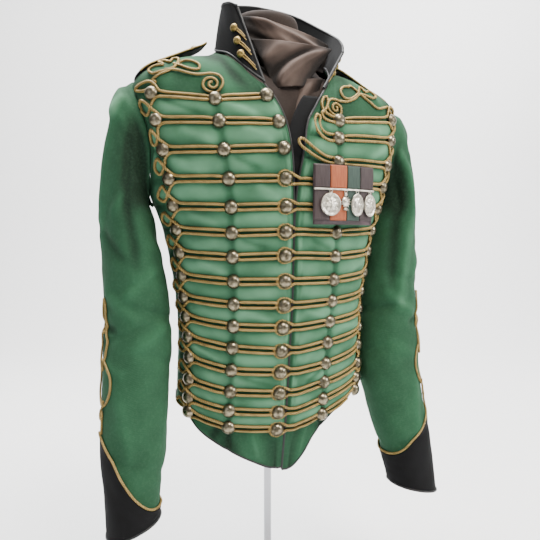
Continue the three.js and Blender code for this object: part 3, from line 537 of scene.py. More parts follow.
@dataclass(frozen=True)
class Bullion:
    """Twisted metal thread cord: bright strands with painted glints over painted shade in the grooves, a
    little tarnished.
    """

    name: str
    groove: str = "#2f2210"
    strand: str = "#ac8c48"
    glint: str = "#e9cf88"

    def build(self) -> bpy.types.Material:
        """Makes the material.

        Returns:
            The cord's finish.
        """
        material, tree, shader = new_material(self.name, Metallic=0.4, Roughness=0.48)
        place = add_node(tree, "ShaderNodeTexCoord").outputs["Object"]
        lobe = add_node(tree, "ShaderNodeAttribute", attribute_name="strand").outputs["Fac"]
        thread = add_node(tree, "ShaderNodeTexNoise",
                          {"Vector": place, "Scale": 1800.0, "Detail": 2.0}).outputs[0]
        age = add_node(tree, "ShaderNodeTexNoise", {"Vector": place, "Scale": 90.0, "Detail": 3.0}).outputs[0]
        # Painted shade darkens the grooves between the strands, painted glints light random specks of thread,
        # and tarnish darkens random patches
        tone = mixed(tree, ranged(tree, lobe, 0.2, 0.8), shade(self.groove), shade(self.strand))
        tone = mixed(tree, ranged(tree, thread, 0.45, 0.75, 0.0, 0.75), tone, shade(self.glint))
        tone = mixed(tree, ranged(tree, age, 0.5, 0.75, 0.0, 0.45), tone, shade(self.groove))
        tree.links.new(tone, shader.inputs["Base Color"])
        bump = add_node(tree, "ShaderNodeBump", {"Height": thread, "Strength": 0.5, "Distance": 0.0003})
        tree.links.new(bump.outputs[0], shader.inputs["Normal"])
        return material


@dataclass(frozen=True)
class AgedMetal:
    """Plated metal, worn bright and dull in random patches, with fine scratches."""

    name: str
    bright: str
    dull: str
    rough: float = 0.3
    patch: float = 140.0
    wear: float = 0.6

    def build(self) -> bpy.types.Material:
        """Makes the material.

        Returns:
            The metal.
        """
        material, tree, shader = new_material(self.name, Metallic=1.0)
        place = add_node(tree, "ShaderNodeTexCoord").outputs["Object"]
        stain = add_node(tree, "ShaderNodeTexNoise",
                         {"Vector": place, "Scale": self.patch, "Detail": 4.0}).outputs[0]
        scratch = add_node(tree, "ShaderNodeTexNoise",
                           {"Vector": place, "Scale": 1200.0, "Detail": 2.0}).outputs[0]
        spread = ranged(tree, stain, 0.38, 0.66, 0.0, self.wear)
        tree.links.new(mixed(tree, spread, shade(self.bright), shade(self.dull)),
                       shader.inputs["Base Color"])
        tree.links.new(ranged(tree, stain, 0.35, 0.7, self.rough, self.rough + 0.22),
                       shader.inputs["Roughness"])
        bump = add_node(tree, "ShaderNodeBump", {"Height": scratch, "Strength": 0.12, "Distance": 0.0001})
        tree.links.new(bump.outputs[0], shader.inputs["Normal"])
        return material


@dataclass(frozen=True)
class Leather:
    """Black glazed leather binding with a fine grain that catches a soft light."""

    name: str
    colour: str = "#0b0c0d"
    worn: str = "#1f2125"

    def build(self) -> bpy.types.Material:
        """Makes the material.

        Returns:
            The leather.
        """
        material, tree, shader = new_material(self.name, Specular_IOR_Level=0.5)
        place = add_node(tree, "ShaderNodeTexCoord").outputs["Object"]
        grain = add_node(tree, "ShaderNodeTexVoronoi", {"Vector": place, "Scale": 900.0}).outputs["Distance"]
        rub = add_node(tree, "ShaderNodeTexNoise", {"Vector": place, "Scale": 60.0, "Detail": 5.0}).outputs[0]
        tree.links.new(mixed(tree, ranged(tree, rub, 0.48, 0.7, 0.0, 0.8), shade(self.colour),
                             shade(self.worn)), shader.inputs["Base Color"])
        tree.links.new(ranged(tree, rub, 0.3, 0.7, 0.48, 0.7), shader.inputs["Roughness"])
        bump = add_node(tree, "ShaderNodeBump", {"Height": grain, "Strength": 0.3, "Distance": 0.0002})
        tree.links.new(bump.outputs[0], shader.inputs["Normal"])
        return material


@dataclass(frozen=True)
class Ribbon:
    """Ribbed silk ribbon, faded in streaks along its length."""

    name: str
    colour: str
    faded: str

    def build(self) -> bpy.types.Material:
        """Makes the material.

        Returns:
            The ribbon.
        """
        material, tree, shader = new_material(
            self.name, Roughness=0.62, Sheen_Weight=0.3, Sheen_Roughness=0.35,
            Sheen_Tint=shade(self.faded))
        cut = add_node(tree, "ShaderNodeUVMap", uv_map="cut").outputs[0]
        long = add_node(tree, "ShaderNodeMapping", {"Vector": cut, "Scale": (900.0, 60.0, 1.0)}).outputs[0]
        streak = add_node(tree, "ShaderNodeTexNoise",
                          {"Vector": long, "Scale": 1.0, "Detail": 3.0}).outputs[0]
        rib = add_node(tree, "ShaderNodeTexWave", {"Vector": cut, "Scale": 190.0},
                       bands_direction="Y").outputs["Fac"]
        tree.links.new(mixed(tree, ranged(tree, streak, 0.35, 0.7, 0.0, 0.45), shade(self.colour),
                             shade(self.faded)), shader.inputs["Base Color"])
        bump = add_node(tree, "ShaderNodeBump", {"Height": rib, "Strength": 0.3, "Distance": 0.0002})
        tree.links.new(bump.outputs[0], shader.inputs["Normal"])
        return material


@dataclass(frozen=True)
class Plain:
    """Smooth surface with a faint mottle, for the floor and the polished stand."""

    name: str
    colour: str
    rough: float
    metallic: float = 0.0

    def build(self) -> bpy.types.Material:
        """Makes the material.

        Returns:
            The finish.
        """
        material, tree, shader = new_material(self.name, Metallic=self.metallic)
        place = add_node(tree, "ShaderNodeTexCoord").outputs["Object"]
        haze = add_node(tree, "ShaderNodeTexNoise",
                        {"Vector": place, "Scale": 45.0, "Detail": 3.0}).outputs[0]
        light = tuple(min(c * 1.04, 1.0) for c in shade(self.colour)[:3]) + (1.0,)
        tree.links.new(mixed(tree, haze, shade(self.colour), light), shader.inputs["Base Color"])
        tree.links.new(ranged(tree, haze, 0.3, 0.7, self.rough, self.rough + 0.06),
                       shader.inputs["Roughness"])
        return material


class Finishes:
    """Every finish of the part, made once."""

    def __init__(self) -> None:
        """Builds the materials."""
        self.green = Wool("green_wool_twill", "#0f2417", "#2b553b", "#6a9f7c", sheen=0.08).build()
        self.black = Wool("black_wool_facing", "#050506", "#0e0f11", "#1d1f23", sheen=0.06).build()
        self.jersey = Wool("brown_jersey_cover", "#14100e", "#362c27", "#5c4e47", rib=1.6,
                           sheen=0.1).build()
        self.gold = Bullion("gold_bullion_cord").build()
        self.button = AgedMetal("worn_silvered_brass", "#8d846e", "#2a261c", 0.27, 160.0, 0.75).build()
        self.brass = AgedMetal("worn_brass", "#a08a55", "#4a3c1e", 0.32, 200.0, 0.6).build()
        self.silver = AgedMetal("aged_silver", "#e6e0d2", "#6e6757", 0.3, 190.0, 0.5).build()
        self.leather = Leather("black_glazed_binding").build()
        self.maroon = Ribbon("maroon_ribbon", "#2c1f20", "#4b3d3c").build()
        self.orange = Ribbon("orange_ribbon", "#8f4420", "#b9683a").build()
        self.dark_green = Ribbon("dark_green_ribbon", "#20352c", "#3b5348").build()
        self.backing = Leather("maroon_backing", "#2c2023", "#56444a").build()
        self.chrome = Plain("polished_chrome", "#a4a5aa", 0.08, 1.0).build()
        self.floor = Plain("pale_floor", "#f4f4f4", 0.9).build()


# Geometry Nodes


class Interface:
    """Node tree for a modifier, with named inputs for its sizes."""

    def __init__(self, name: str, sizes: dict) -> None:
        """Starts the tree.

        Args:
            name: the tree's name.
            sizes: input names with their default values in metres.
        """
        self.tree = bpy.data.node_groups.new(name, "GeometryNodeTree")
        face = self.tree.interface
        face.new_socket("Geometry", in_out="INPUT", socket_type="NodeSocketGeometry")
        self.keys = {}
        for key, value in sizes.items():
            kind = "NodeSocketObject" if isinstance(value, bpy.types.Object) else "NodeSocketFloat"
            socket = face.new_socket(key, in_out="INPUT", socket_type=kind)
            socket.default_value = value
            self.keys[key] = socket.identifier
        face.new_socket("Geometry", in_out="OUTPUT", socket_type="NodeSocketGeometry")
        self.start = add_node(self.tree, "NodeGroupInput")

    def finish(self, geometry: bpy.types.NodeSocket, material: bpy.types.Material) -> None:
        """Ends the tree in Realize Instances and Set Material."""
        real = add_node(self.tree, "GeometryNodeRealizeInstances", {0: geometry})
        dressed = add_node(self.tree, "GeometryNodeSetMaterial", {"Geometry": real.outputs[0],
                                                                  "Material": material})
        add_node(self.tree, "NodeGroupOutput", {0: dressed.outputs[0]})

    def apply(self, obj: bpy.types.Object, sizes: dict) -> None:
        """Runs the tree on an object and keeps its result as a plain mesh.

        Args:
            obj: the object.
            sizes: values for the named inputs.
        """
        modifier = obj.modifiers.new("shape", "NODES")
        modifier.node_group = self.tree
        for key, value in sizes.items():
            modifier[self.keys[key]] = value
        obj.update_tag()
        graph = bpy.context.evaluated_depsgraph_get()
        graph.update()
        mesh = bpy.data.meshes.new_from_object(obj.evaluated_get(graph))
        obj.modifiers.clear()
        old = obj.data
        obj.data = mesh
        bpy.data.meshes.remove(old)


def twisted_cord(material: bpy.types.Material) -> Interface:
    """Tree that sweeps three twisted strands along every line of a mesh.

    Args:
        material: the cord's finish.

    Returns:
        The tree, with radius, pitch and step as inputs.
    """
    made = Interface("twisted_cord", {"Radius": 0.0021, "Pitch": 0.009, "Step": 0.0013})
    tree, given = made.tree, made.start.outputs
    line = add_node(tree, "GeometryNodeMeshToCurve", {"Mesh": given["Geometry"]})
    even = add_node(tree, "GeometryNodeResampleCurve", {"Curve": line.outputs[0],
                                                        "Length": given["Step"]}, mode="LENGTH")
    gone = add_node(tree, "GeometryNodeSplineParameter").outputs["Length"]
    turns = add_node(tree, "ShaderNodeMath", {0: gone, 1: given["Pitch"]}, operation="DIVIDE")
    angle = add_node(tree, "ShaderNodeMath", {0: turns.outputs[0], 1: 2 * math.pi}, operation="MULTIPLY")
    wound = add_node(tree, "GeometryNodeSetCurveTilt", {"Curve": even.outputs[0],
                                                        "Tilt": angle.outputs[0]})
    ring = add_node(tree, "GeometryNodeCurvePrimitiveCircle", {"Resolution": 12,
                                                               "Radius": given["Radius"]})
    index = add_node(tree, "GeometryNodeInputIndex").outputs[0]
    third = add_node(tree, "ShaderNodeMath", {0: index, 1: math.pi / 2}, operation="MULTIPLY")
    lobe = add_node(tree, "ShaderNodeMath", {0: third.outputs[0]}, operation="COSINE")
    swell = add_node(tree, "ShaderNodeMapRange", {0: lobe.outputs[0], 1: -1.0, 2: 1.0, 3: 0.72, 4: 1.0})
    place = add_node(tree, "GeometryNodeInputPosition").outputs[0]
    out = add_node(tree, "ShaderNodeVectorMath", {0: place, "Scale": swell.outputs[0]},
                   operation="SCALE")
    shaped = add_node(tree, "GeometryNodeSetPosition", {"Geometry": ring.outputs[0],
                                                        "Position": out.outputs[0]})
    # Share of each lobe, which the cord's finish turns into painted shade in the grooves between the strands
    share = add_node(tree, "ShaderNodeMapRange", {0: lobe.outputs[0], 1: -1.0, 2: 1.0, 3: 0.0, 4: 1.0})
    marked = add_node(tree, "GeometryNodeStoreNamedAttribute",
                      {"Geometry": shaped.outputs[0], "Name": "strand", "Value": share.outputs[0]},
                      data_type="FLOAT", domain="POINT")
    swept = add_node(tree, "GeometryNodeCurveToMesh",
                     {"Curve": wound.outputs[0], "Profile Curve": marked.outputs[0], "Fill Caps": True})
    made.finish(swept.outputs[0], material)
    return made


def round_piping(material: bpy.types.Material, name: str) -> Interface:
    """Tree that sweeps a plain round binding along every line of a mesh.

    Args:
        material: the binding's finish.
        name: the tree's name.

    Returns:
        The tree, with radius and step as inputs.
    """
    made = Interface(name, {"Radius": 0.0015, "Step": 0.003})
    tree, given = made.tree, made.start.outputs
    line = add_node(tree, "GeometryNodeMeshToCurve", {"Mesh": given["Geometry"]})
    even = add_node(tree, "GeometryNodeResampleCurve", {"Curve": line.outputs[0],
                                                        "Length": given["Step"]}, mode="LENGTH")
    ring = add_node(tree, "GeometryNodeCurvePrimitiveCircle", {"Resolution": 10,
                                                               "Radius": given["Radius"]})
    swept = add_node(tree, "GeometryNodeCurveToMesh",
                     {"Curve": even.outputs[0], "Profile Curve": ring.outputs[0], "Fill Caps": True})
    smooth = add_node(tree, "GeometryNodeSetShadeSmooth", {"Geometry": swept.outputs[0]})
    made.finish(smooth.outputs[0], material)
    return made


def studs(material: bpy.types.Material, name: str, stud: bpy.types.Object) -> Interface:
    """Tree that sets a stud on every point, facing along the point's own direction.

    Args:
        material: the studs' finish.
        name: the tree's name.
        stud: the mesh to repeat, its back on its own XY plane.

    Returns:
        The tree, with the stud as an input.
    """
    made = Interface(name, {"Stud": stud})
    tree, given = made.tree, made.start.outputs
    source = add_node(tree, "GeometryNodeObjectInfo", {"Object": given["Stud"]},
                      transform_space="ORIGINAL")
    facing = add_node(tree, "GeometryNodeInputNamedAttribute", {"Name": "facing"},
                      data_type="FLOAT_VECTOR").outputs[0]
    size = add_node(tree, "GeometryNodeInputNamedAttribute", {"Name": "size"},
                    data_type="FLOAT").outputs[0]
    turned = add_node(tree, "FunctionNodeAlignRotationToVector", {"Vector": facing}, axis="Z")
    put = add_node(tree, "GeometryNodeInstanceOnPoints",
                   {"Points": given["Geometry"], "Instance": source.outputs["Geometry"],
                    "Rotation": turned.outputs[0], "Scale": size})
    made.finish(put.outputs[0], material)
    return made


def lines_object(name: str, lines: list, body: str = JACKET) -> bpy.types.Object:
    """Object whose mesh holds several open lines of points in mm."""
    points = np.vstack(lines)
    edges, start = [], 0
    for line in lines:
        edges += [(start + k, start + k + 1) for k in range(len(line) - 1)]
        start += len(line)
    obj = bare_object(name, points, edges)
    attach(obj, body)
    return obj


def points_object(name: str, spots: list, body: str = JACKET) -> bpy.types.Object:
    """Object with a point for each (place in mm, direction, size)."""
    obj = bare_object(name, np.array([p for p, _, _ in spots]))
    mesh = obj.data
    facing = mesh.attributes.new("facing", "FLOAT_VECTOR", "POINT")
    facing.data.foreach_set("vector", np.array([d for _, d, _ in spots], np.float32).ravel())
    size = mesh.attributes.new("size", "FLOAT", "POINT")
    size.data.foreach_set("value", np.array([s for _, _, s in spots], np.float32))
    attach(obj, body)
    return obj


@dataclass
class Workshop:
    """Finishes and the trees that make cords, bindings and buttons."""

    finish: Finishes = field(default_factory=Finishes)

    def __post_init__(self) -> None:
        """Builds the trees and the buttons' own forms."""
        self.cord_tree = twisted_cord(self.finish.gold)
        self.binding_tree = round_piping(self.finish.leather, "leather_binding")
        self.black_tree = round_piping(self.finish.black, "wool_binding")
        self.silver_tree = round_piping(self.finish.silver, "silver_wire")
        self.green_tree = round_piping(self.finish.green, "green_welt")
        self.dome = self.form("dome_form", [(0, -0.4), (8.6, -0.4), (9.3, 0.3), (9.4, 1.0), (8.9, 1.7),
                                            (8.5, 2.9), (7.5, 4.7), (5.9, 6.2), (3.9, 7.2), (1.9, 7.7),
                                            (0, 7.8)], 28)
        self.dome_tree = studs(self.finish.button, "domed_buttons", self.dome)
        self.small_tree = studs(self.finish.brass, "small_domes", self.dome)

    def form(self, name: str, profile: list, count: int) -> bpy.types.Object:
        """Turned form that the scatter trees repeat; it is removed at the end."""
        points, faces = lathe(profile, count)
        return bare_object(name, points, faces=faces)

    def cords(self, name: str, lines: list, slot: str = "gold_cord", radius: float = 2.3,
              replaces: tuple = (), body: str = JACKET) -> bpy.types.Object:
        """Twisted gold cords along lines of points in mm."""
        obj = lines_object(name, lines, body)
        self.cord_tree.apply(obj, {"Radius": radius * MM, "Pitch": 0.0046 * radius, "Step": 0.0013})
        return self.enter(obj, slot, replaces)

    def binding(self, name: str, lines: list, radius: float, slot: str,
                tree: Interface | None = None, body: str = JACKET) -> bpy.types.Object:
        """Round binding along lines of points in mm."""
        obj = lines_object(name, lines, body)
        (tree or self.binding_tree).apply(obj, {"Radius": radius * MM, "Step": 0.003})
        return self.enter(obj, slot, ())

    def buttons(self, name: str, spots: list, slot: str, tree: Interface | None = None,
                replaces: tuple = (), body: str = JACKET) -> bpy.types.Object:
        """Domes at (place, direction, size)."""
        obj = points_object(name, spots, body)
        (tree or self.dome_tree).apply(obj, {"Stud": self.dome})
        return self.enter(obj, slot, replaces)

    @staticmethod
    def enter(obj: bpy.types.Object, slot: str, replaces: tuple) -> bpy.types.Object:
        """Hides the packed parts that a finished piece replaces, and logs its faces."""
        if replaces:
            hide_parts(*replaces)
        LOG.info("%s: %d faces", obj.name, len(obj.data.polygons))
        return obj

    def clear_away(self) -> None:
        """Removes the forms that were only repeated."""
        bpy.data.objects.remove(self.dome)


def dress(obj: bpy.types.Object, material: bpy.types.Material, slot: str, *nodes: str) -> None:
    """Gives a piece its finish and hides the packed nodes it stands for."""
    obj.data.materials.clear()
    obj.data.materials.append(material)
    Workshop.enter(obj, slot, nodes)


# Fronts

# Height of each row at the front edge, the middle button and the outer button, right then left
ROWS = [
    (783, 776, 786, 757, 755, 770), (746, 745, 749, 731, 729, 738), (710, 706, 708, 699, 695, 699),
    (669, 667, 669, 666, 663, 666), (631, 629, 633, 631, 629, 633), (596, 594, 600, 596, 595, 600),
    (563, 561, 567, 563, 561, 568), (527, 527, 534, 527, 527, 534), (493, 495, 503, 493, 496, 504),
    (461, 464, 474, 461, 466, 475), (428, 433, 445, 428, 435, 446), (397, 401, 415, 397, 404, 419),
    (366, 370, 383, 366, 376, 392), (338, 342, 356, 338, 350, 370), (312, 317, 335, 312, 327, 352),
]
CENTRE_BUTTON = 13
TOP = len(ROWS) + 1


@dataclass
class Front(Surface):
    """One front: u runs from the edge (0) over the button columns to the armhole (4), v from the hem."""

    side: Side
    columns: Table
    hem: Table
    creases: list
    samples: int = 161
    puff: float = 4.4

    def __post_init__(self) -> None:
        """Works out the line of the hem, of every row and of the top edge."""
        self.facing = float(self.side.value)
        u = np.linspace(0, 4, self.samples)
        first = 0 if self.side is Side.RIGHT else 3
        heights = []
        for row in reversed(ROWS):
            inner, mid, out = row[first:first + 3]
            ends = [inner, inner, mid, out, out + (out - mid) * 0.3]
            heights.append(np.interp(u, range(5), ends))
        z = np.full(self.samples, self.hem(26.0 if self.side is Side.LEFT else 50.0))
        for _ in range(14):
            angle = self.angle_of(u, z, True)
            x = np.abs(body_point(angle, z)[..., 0])
            x = np.where(u < 1, x - np.abs(self.columns(z, 1)) * (1 - u), x)
            z = blend(z, self.hem(x), 0.7)
        self.hem_angle = self.angle_of(u, z, True)
        share = np.interp(u, [0, 1, 1.5, 2], [0, 0.45, 0.8, 1])
        edge = float(self.columns(NECK_FRONT_Z, 1))
        self.top_x = np.where(u <= 2, blend(edge, NECK_SIDE_X, share), 0.0)
        top = np.where(u <= 2, blend(NECK_FRONT_Z, NECK_SIDE_Z, share ** 1.6),
                       blend(NECK_SIDE_Z, SHOULDER_Z, (u - 2) / 2))
        self.top_x = np.where(u <= 2, self.top_x, TORSO(top, 1)) * self.side.value
        self.lines = np.array([z] + heights + [top])
        self.low_angle = self.angle_of(u, self.lines[1])
        self.row_x = body_point(self.angle_of(u, self.lines[-2]), self.lines[-2])[..., 0]

    def angle_of(self, u: np.ndarray, z: np.ndarray, below: bool = False) -> np.ndarray:
        """Angle on the body at a stop and a height."""
        s = self.side.value
        outer = np.where(z > ARMPIT_Z, ARMHOLE(np.minimum(z, SHOULDER_Z), 1), SIDE_SEAM)
        outer = np.full_like(outer, SIDE_SEAM) if below else outer
        edge = self.columns(z, 1)
        places = [edge, edge + CENTRE_BUTTON, self.columns(z, 2), self.columns(z, 3)]
        stops = np.stack([angle_at(s * p, z) for p in places] + [s * outer], -1)
        k = np.clip(np.floor(u).astype(int), 0, 3)
        a = np.take_along_axis(stops, k[..., None], -1)[..., 0]
        b = np.take_along_axis(stops, k[..., None] + 1, -1)[..., 0]
        return blend(a, b, u - k)

    def along(self, row: np.ndarray, u: np.ndarray) -> np.ndarray:
        """A sampled line read at u; row is a line or one line for each u."""
        at = u / 4 * (self.samples - 1)
        i = np.clip(np.floor(at).astype(int), 0, self.samples - 2)
        return blend(row[..., i], row[..., i + 1], at - i)

    def point(self, u: np.ndarray, v: np.ndarray) -> np.ndarray:
        """Points of the front without its relief."""
        u, v = np.broadcast_arrays(np.clip(u, 0, 4), np.clip(v, 0, TOP))
        u, v = np.array(u, float), np.array(v, float)
        k = np.clip(np.floor(v).astype(int), 0, TOP - 1)
        f = v - k
        at = u / 4 * (self.samples - 1)
        i = np.clip(np.floor(at).astype(int), 0, self.samples - 2)
        g = at - i
        low = blend(self.lines[k, i], self.lines[k, i + 1], g)
        high = blend(self.lines[k + 1, i], self.lines[k + 1, i + 1], g)
        z = blend(low, high, f)
        angle = self.angle_of(u, z)
        hem = blend(self.along(self.hem_angle, u), self.along(self.low_angle, u), f)
        x = blend(self.along(self.row_x, u), self.along(self.top_x, u), f)
        over = angle_at(x, z)
        edge = self.side.value * ARMHOLE(np.minimum(z, SHOULDER_Z), 1)
        over = blend(over, edge, np.clip((u - 3.5) / 0.5, 0, 1))
        return body_point(np.where(k == 0, hem, np.where(k == TOP - 1, over, angle)), z)

    def relief(self, u: np.ndarray, v: np.ndarray) -> np.ndarray:
        """Puffs between the rows, pulled in at the buttons, with listed creases."""
        u, v = np.broadcast_arrays(np.clip(u, 0, 4), np.clip(v, 0, TOP))
        x, y = u * 62, v * 33
        rows = (v > 1) & (v < TOP - 1)
        bow = np.where(rows, np.sin(np.pi * np.clip(v % 1, 0, 1)), 0) ** 0.8
        calm = ease(u, 0, 0.45) * (1 - ease(u, 3.5, 4))
        out = self.puff * bow * calm * (0.85 + 0.15 * np.sin(x / 19 + v * 2.1))
        out -= 1.7 * np.exp(-((u - 2) / 0.06) ** 2) * (1 - ease(v, TOP - 1, TOP - 0.4))
        out -= 0.9 * np.exp(-((u - 3) / 0.1) ** 2) * bow
        out += np.where(v < 1, 1.3 * np.sin(x / 11.5) * (1 - v) * ease(u, 0.2, 0.8), 0)
        for u0, v0, u1, v1, high, wide in self.creases:
            out += high * ridge(x, y, (u0 * 62, v0 * 33, u1 * 62, v1 * 33), wide)
        return out + 0.45 * ripple(x, y, 16.0) * calm

    def shift(self, u: float, v: float, out: float, up: float) -> tuple:
        """Parameters that lie some mm outward and upward of a place."""
        way = 0.5 if up > 0 else -0.5
        _, _, _, tall = self.smooth_frame(np.array(u), np.array(np.clip(v + way, 0.3, TOP - 0.3)))
        side = 0.3 if out > 0 else -0.3
        _, _, wide, _ = self.smooth_frame(np.array(np.clip(u + side, 0.1, 3.9)), np.array(v))
        return u + out / float(wide), v + up / float(tall)

    def locate(self, x: float, z: float) -> tuple:
        """Parameters of the place at x and z on the front."""
        if not hasattr(self, "chart"):
            us, vs = np.meshgrid(np.linspace(0, 4, 161), np.linspace(0, TOP, 321))
            self.chart = (us, vs, self.point(us, vs))
        us, vs, p = self.chart
        k = np.unravel_index(np.argmin((p[..., 0] - x) ** 2 + (p[..., 2] - z) ** 2), us.shape)
        u, v = us[k], vs[k]
        for _ in range(3):
            e = 0.01
            a = self.point(np.array(u), np.array(v))
            du = (self.point(np.array(u + e), np.array(v)) - a) / e
            dv = (self.point(np.array(u), np.array(v + e)) - a) / e
            grid = np.array([[du[0], dv[0]], [du[2], dv[2]]])
            if abs(np.linalg.det(grid)) < 1e-3:
                break
            step = np.clip(np.linalg.solve(grid, [x - a[0], z - a[2]]), -0.05, 0.05)
            u, v = float(np.clip(u + step[0], 0, 4)), float(np.clip(v + step[1], 0, TOP))
        return u, v

    def laid(self, path: list, lift: float, step: float = 1.6) -> np.ndarray:
        """Line of points in mm over the cloth, through (u, v) or (u, v, extra lift) places."""
        scale = np.array([62, 33, 1.0])
        full = np.array([tuple(p) + (0.0,) * (3 - len(p)) for p in path]) * scale
        line = through(full, step) / scale
        p, n = self.worn(line[:, 0], line[:, 1])
        return p + n * (lift + line[:, 2:3])


def make_front(side: Side) -> Front:
    """Front of one side, with its hem, its button columns and its main creases.

    Args:
        side: which side.

    Returns:
        The front's shape.
    """
    if side is Side.RIGHT:
        columns = Table([(240, 6, 84, 132), (330, 3, 84, 133), (430, 1, 81, 131), (500, -1, 80, 137),
                         (565, -1, 83, 144), (650, 0, 88, 159), (712, 3, 97, 171), (750, 9, 102, 179),
                         (785, 23, 106, 184), (806, 38, 110, 186)])
        hem = Table([(-10, 252), (20, 251), (50, 264), (84, 281), (116, 304), (134, 326), (143, 352),
                     (150, 386)])
        creases = [
            (2.9, 15.9, 1.6, 15.1, 2.2, 6), (2.4, 15.95, 1.3, 15.35, -1.8, 5), (3.4, 15.8, 2.7, 15.1, 1.8, 6),
            (1.9, 14.85, 1.3, 14.2, 1.8, 5), (2.8, 14.8, 2.2, 14.25, -1.5, 4),
            (1.6, 13.8, 1.15, 13.2, 1.8, 5), (2.6, 13.75, 2.1, 13.2, 1.4, 5),
            (1.85, 12.75, 1.4, 12.3, -1.5, 4), (2.9, 12.7, 2.3, 12.2, 1.5, 5),
            (1.5, 11.8, 1.1, 11.2, 1.4, 5), (2.7, 10.7, 2.2, 10.3, 1.4, 5), (1.8, 9.7, 1.3, 9.3, -1.3, 4),
            (2.6, 8.7, 2.1, 8.3, 1.2, 4), (1.2, 6.3, 1.9, 6.7, 1.2, 4), (2.2, 4.3, 2.9, 4.7, 1.2, 4),
            (1.1, 3.3, 1.8, 3.7, -1.2, 4), (3.2, 13.9, 3.8, 12.5, 1.5, 5), (3.1, 9.9, 3.9, 8.1, 1.2, 5),
            (0.35, 15.9, 0.3, 11.0, -1.2, 5), (1.3, 0.1, 1.5, 0.9, 1.8, 6), (2.4, 0.1, 2.2, 0.9, -1.6, 6),
        ]
    else:
        columns = Table([(240, -5.4, 54, 112), (330, -2.4, 54, 116), (430, -0.4, 58, 132),
                         (500, 1.6, 64, 139), (565, 1.6, 67, 145), (650, 4, 67, 158), (712, 16, 68, 171),
                         (750, 24, 72, 178), (785, 42, 78, 182), (806, 60, 84, 184)])
        hem = Table([(-10, 248), (8, 248), (26, 268), (42, 294), (82, 330), (110, 345), (140, 368),
                     (150, 388)])
        creases = [
            (2.4, 15.9, 2.9, 15.2, 2.0, 6), (3.3, 15.9, 3.6, 15.1, -1.6, 5), (2.3, 14.8, 2.7, 14.2, 1.6, 5),
            (2.9, 13.8, 2.5, 13.2, 1.4, 5), (1.2, 14.6, 1.6, 14.1, -1.2, 4), (2.2, 11.7, 2.7, 11.3, 1.4, 5),
            (1.2, 9.7, 1.8, 9.3, -1.3, 4), (2.3, 8.3, 2.8, 8.7, 1.3, 4), (1.1, 6.7, 1.8, 6.3, 1.2, 4),
            (2.2, 5.7, 2.9, 5.2, 1.3, 4), (1.3, 3.3, 1.8, 3.7, -1.2, 4), (3.1, 11.7, 3.9, 10.2, 1.4, 5),
            (3.2, 6.9, 3.9, 5.1, 1.3, 5), (1.2, 0.1, 1.4, 0.9, 1.6, 6), (2.5, 0.1, 2.2, 0.9, 1.6, 6),
        ]
    return Front(side, columns, hem, creases)


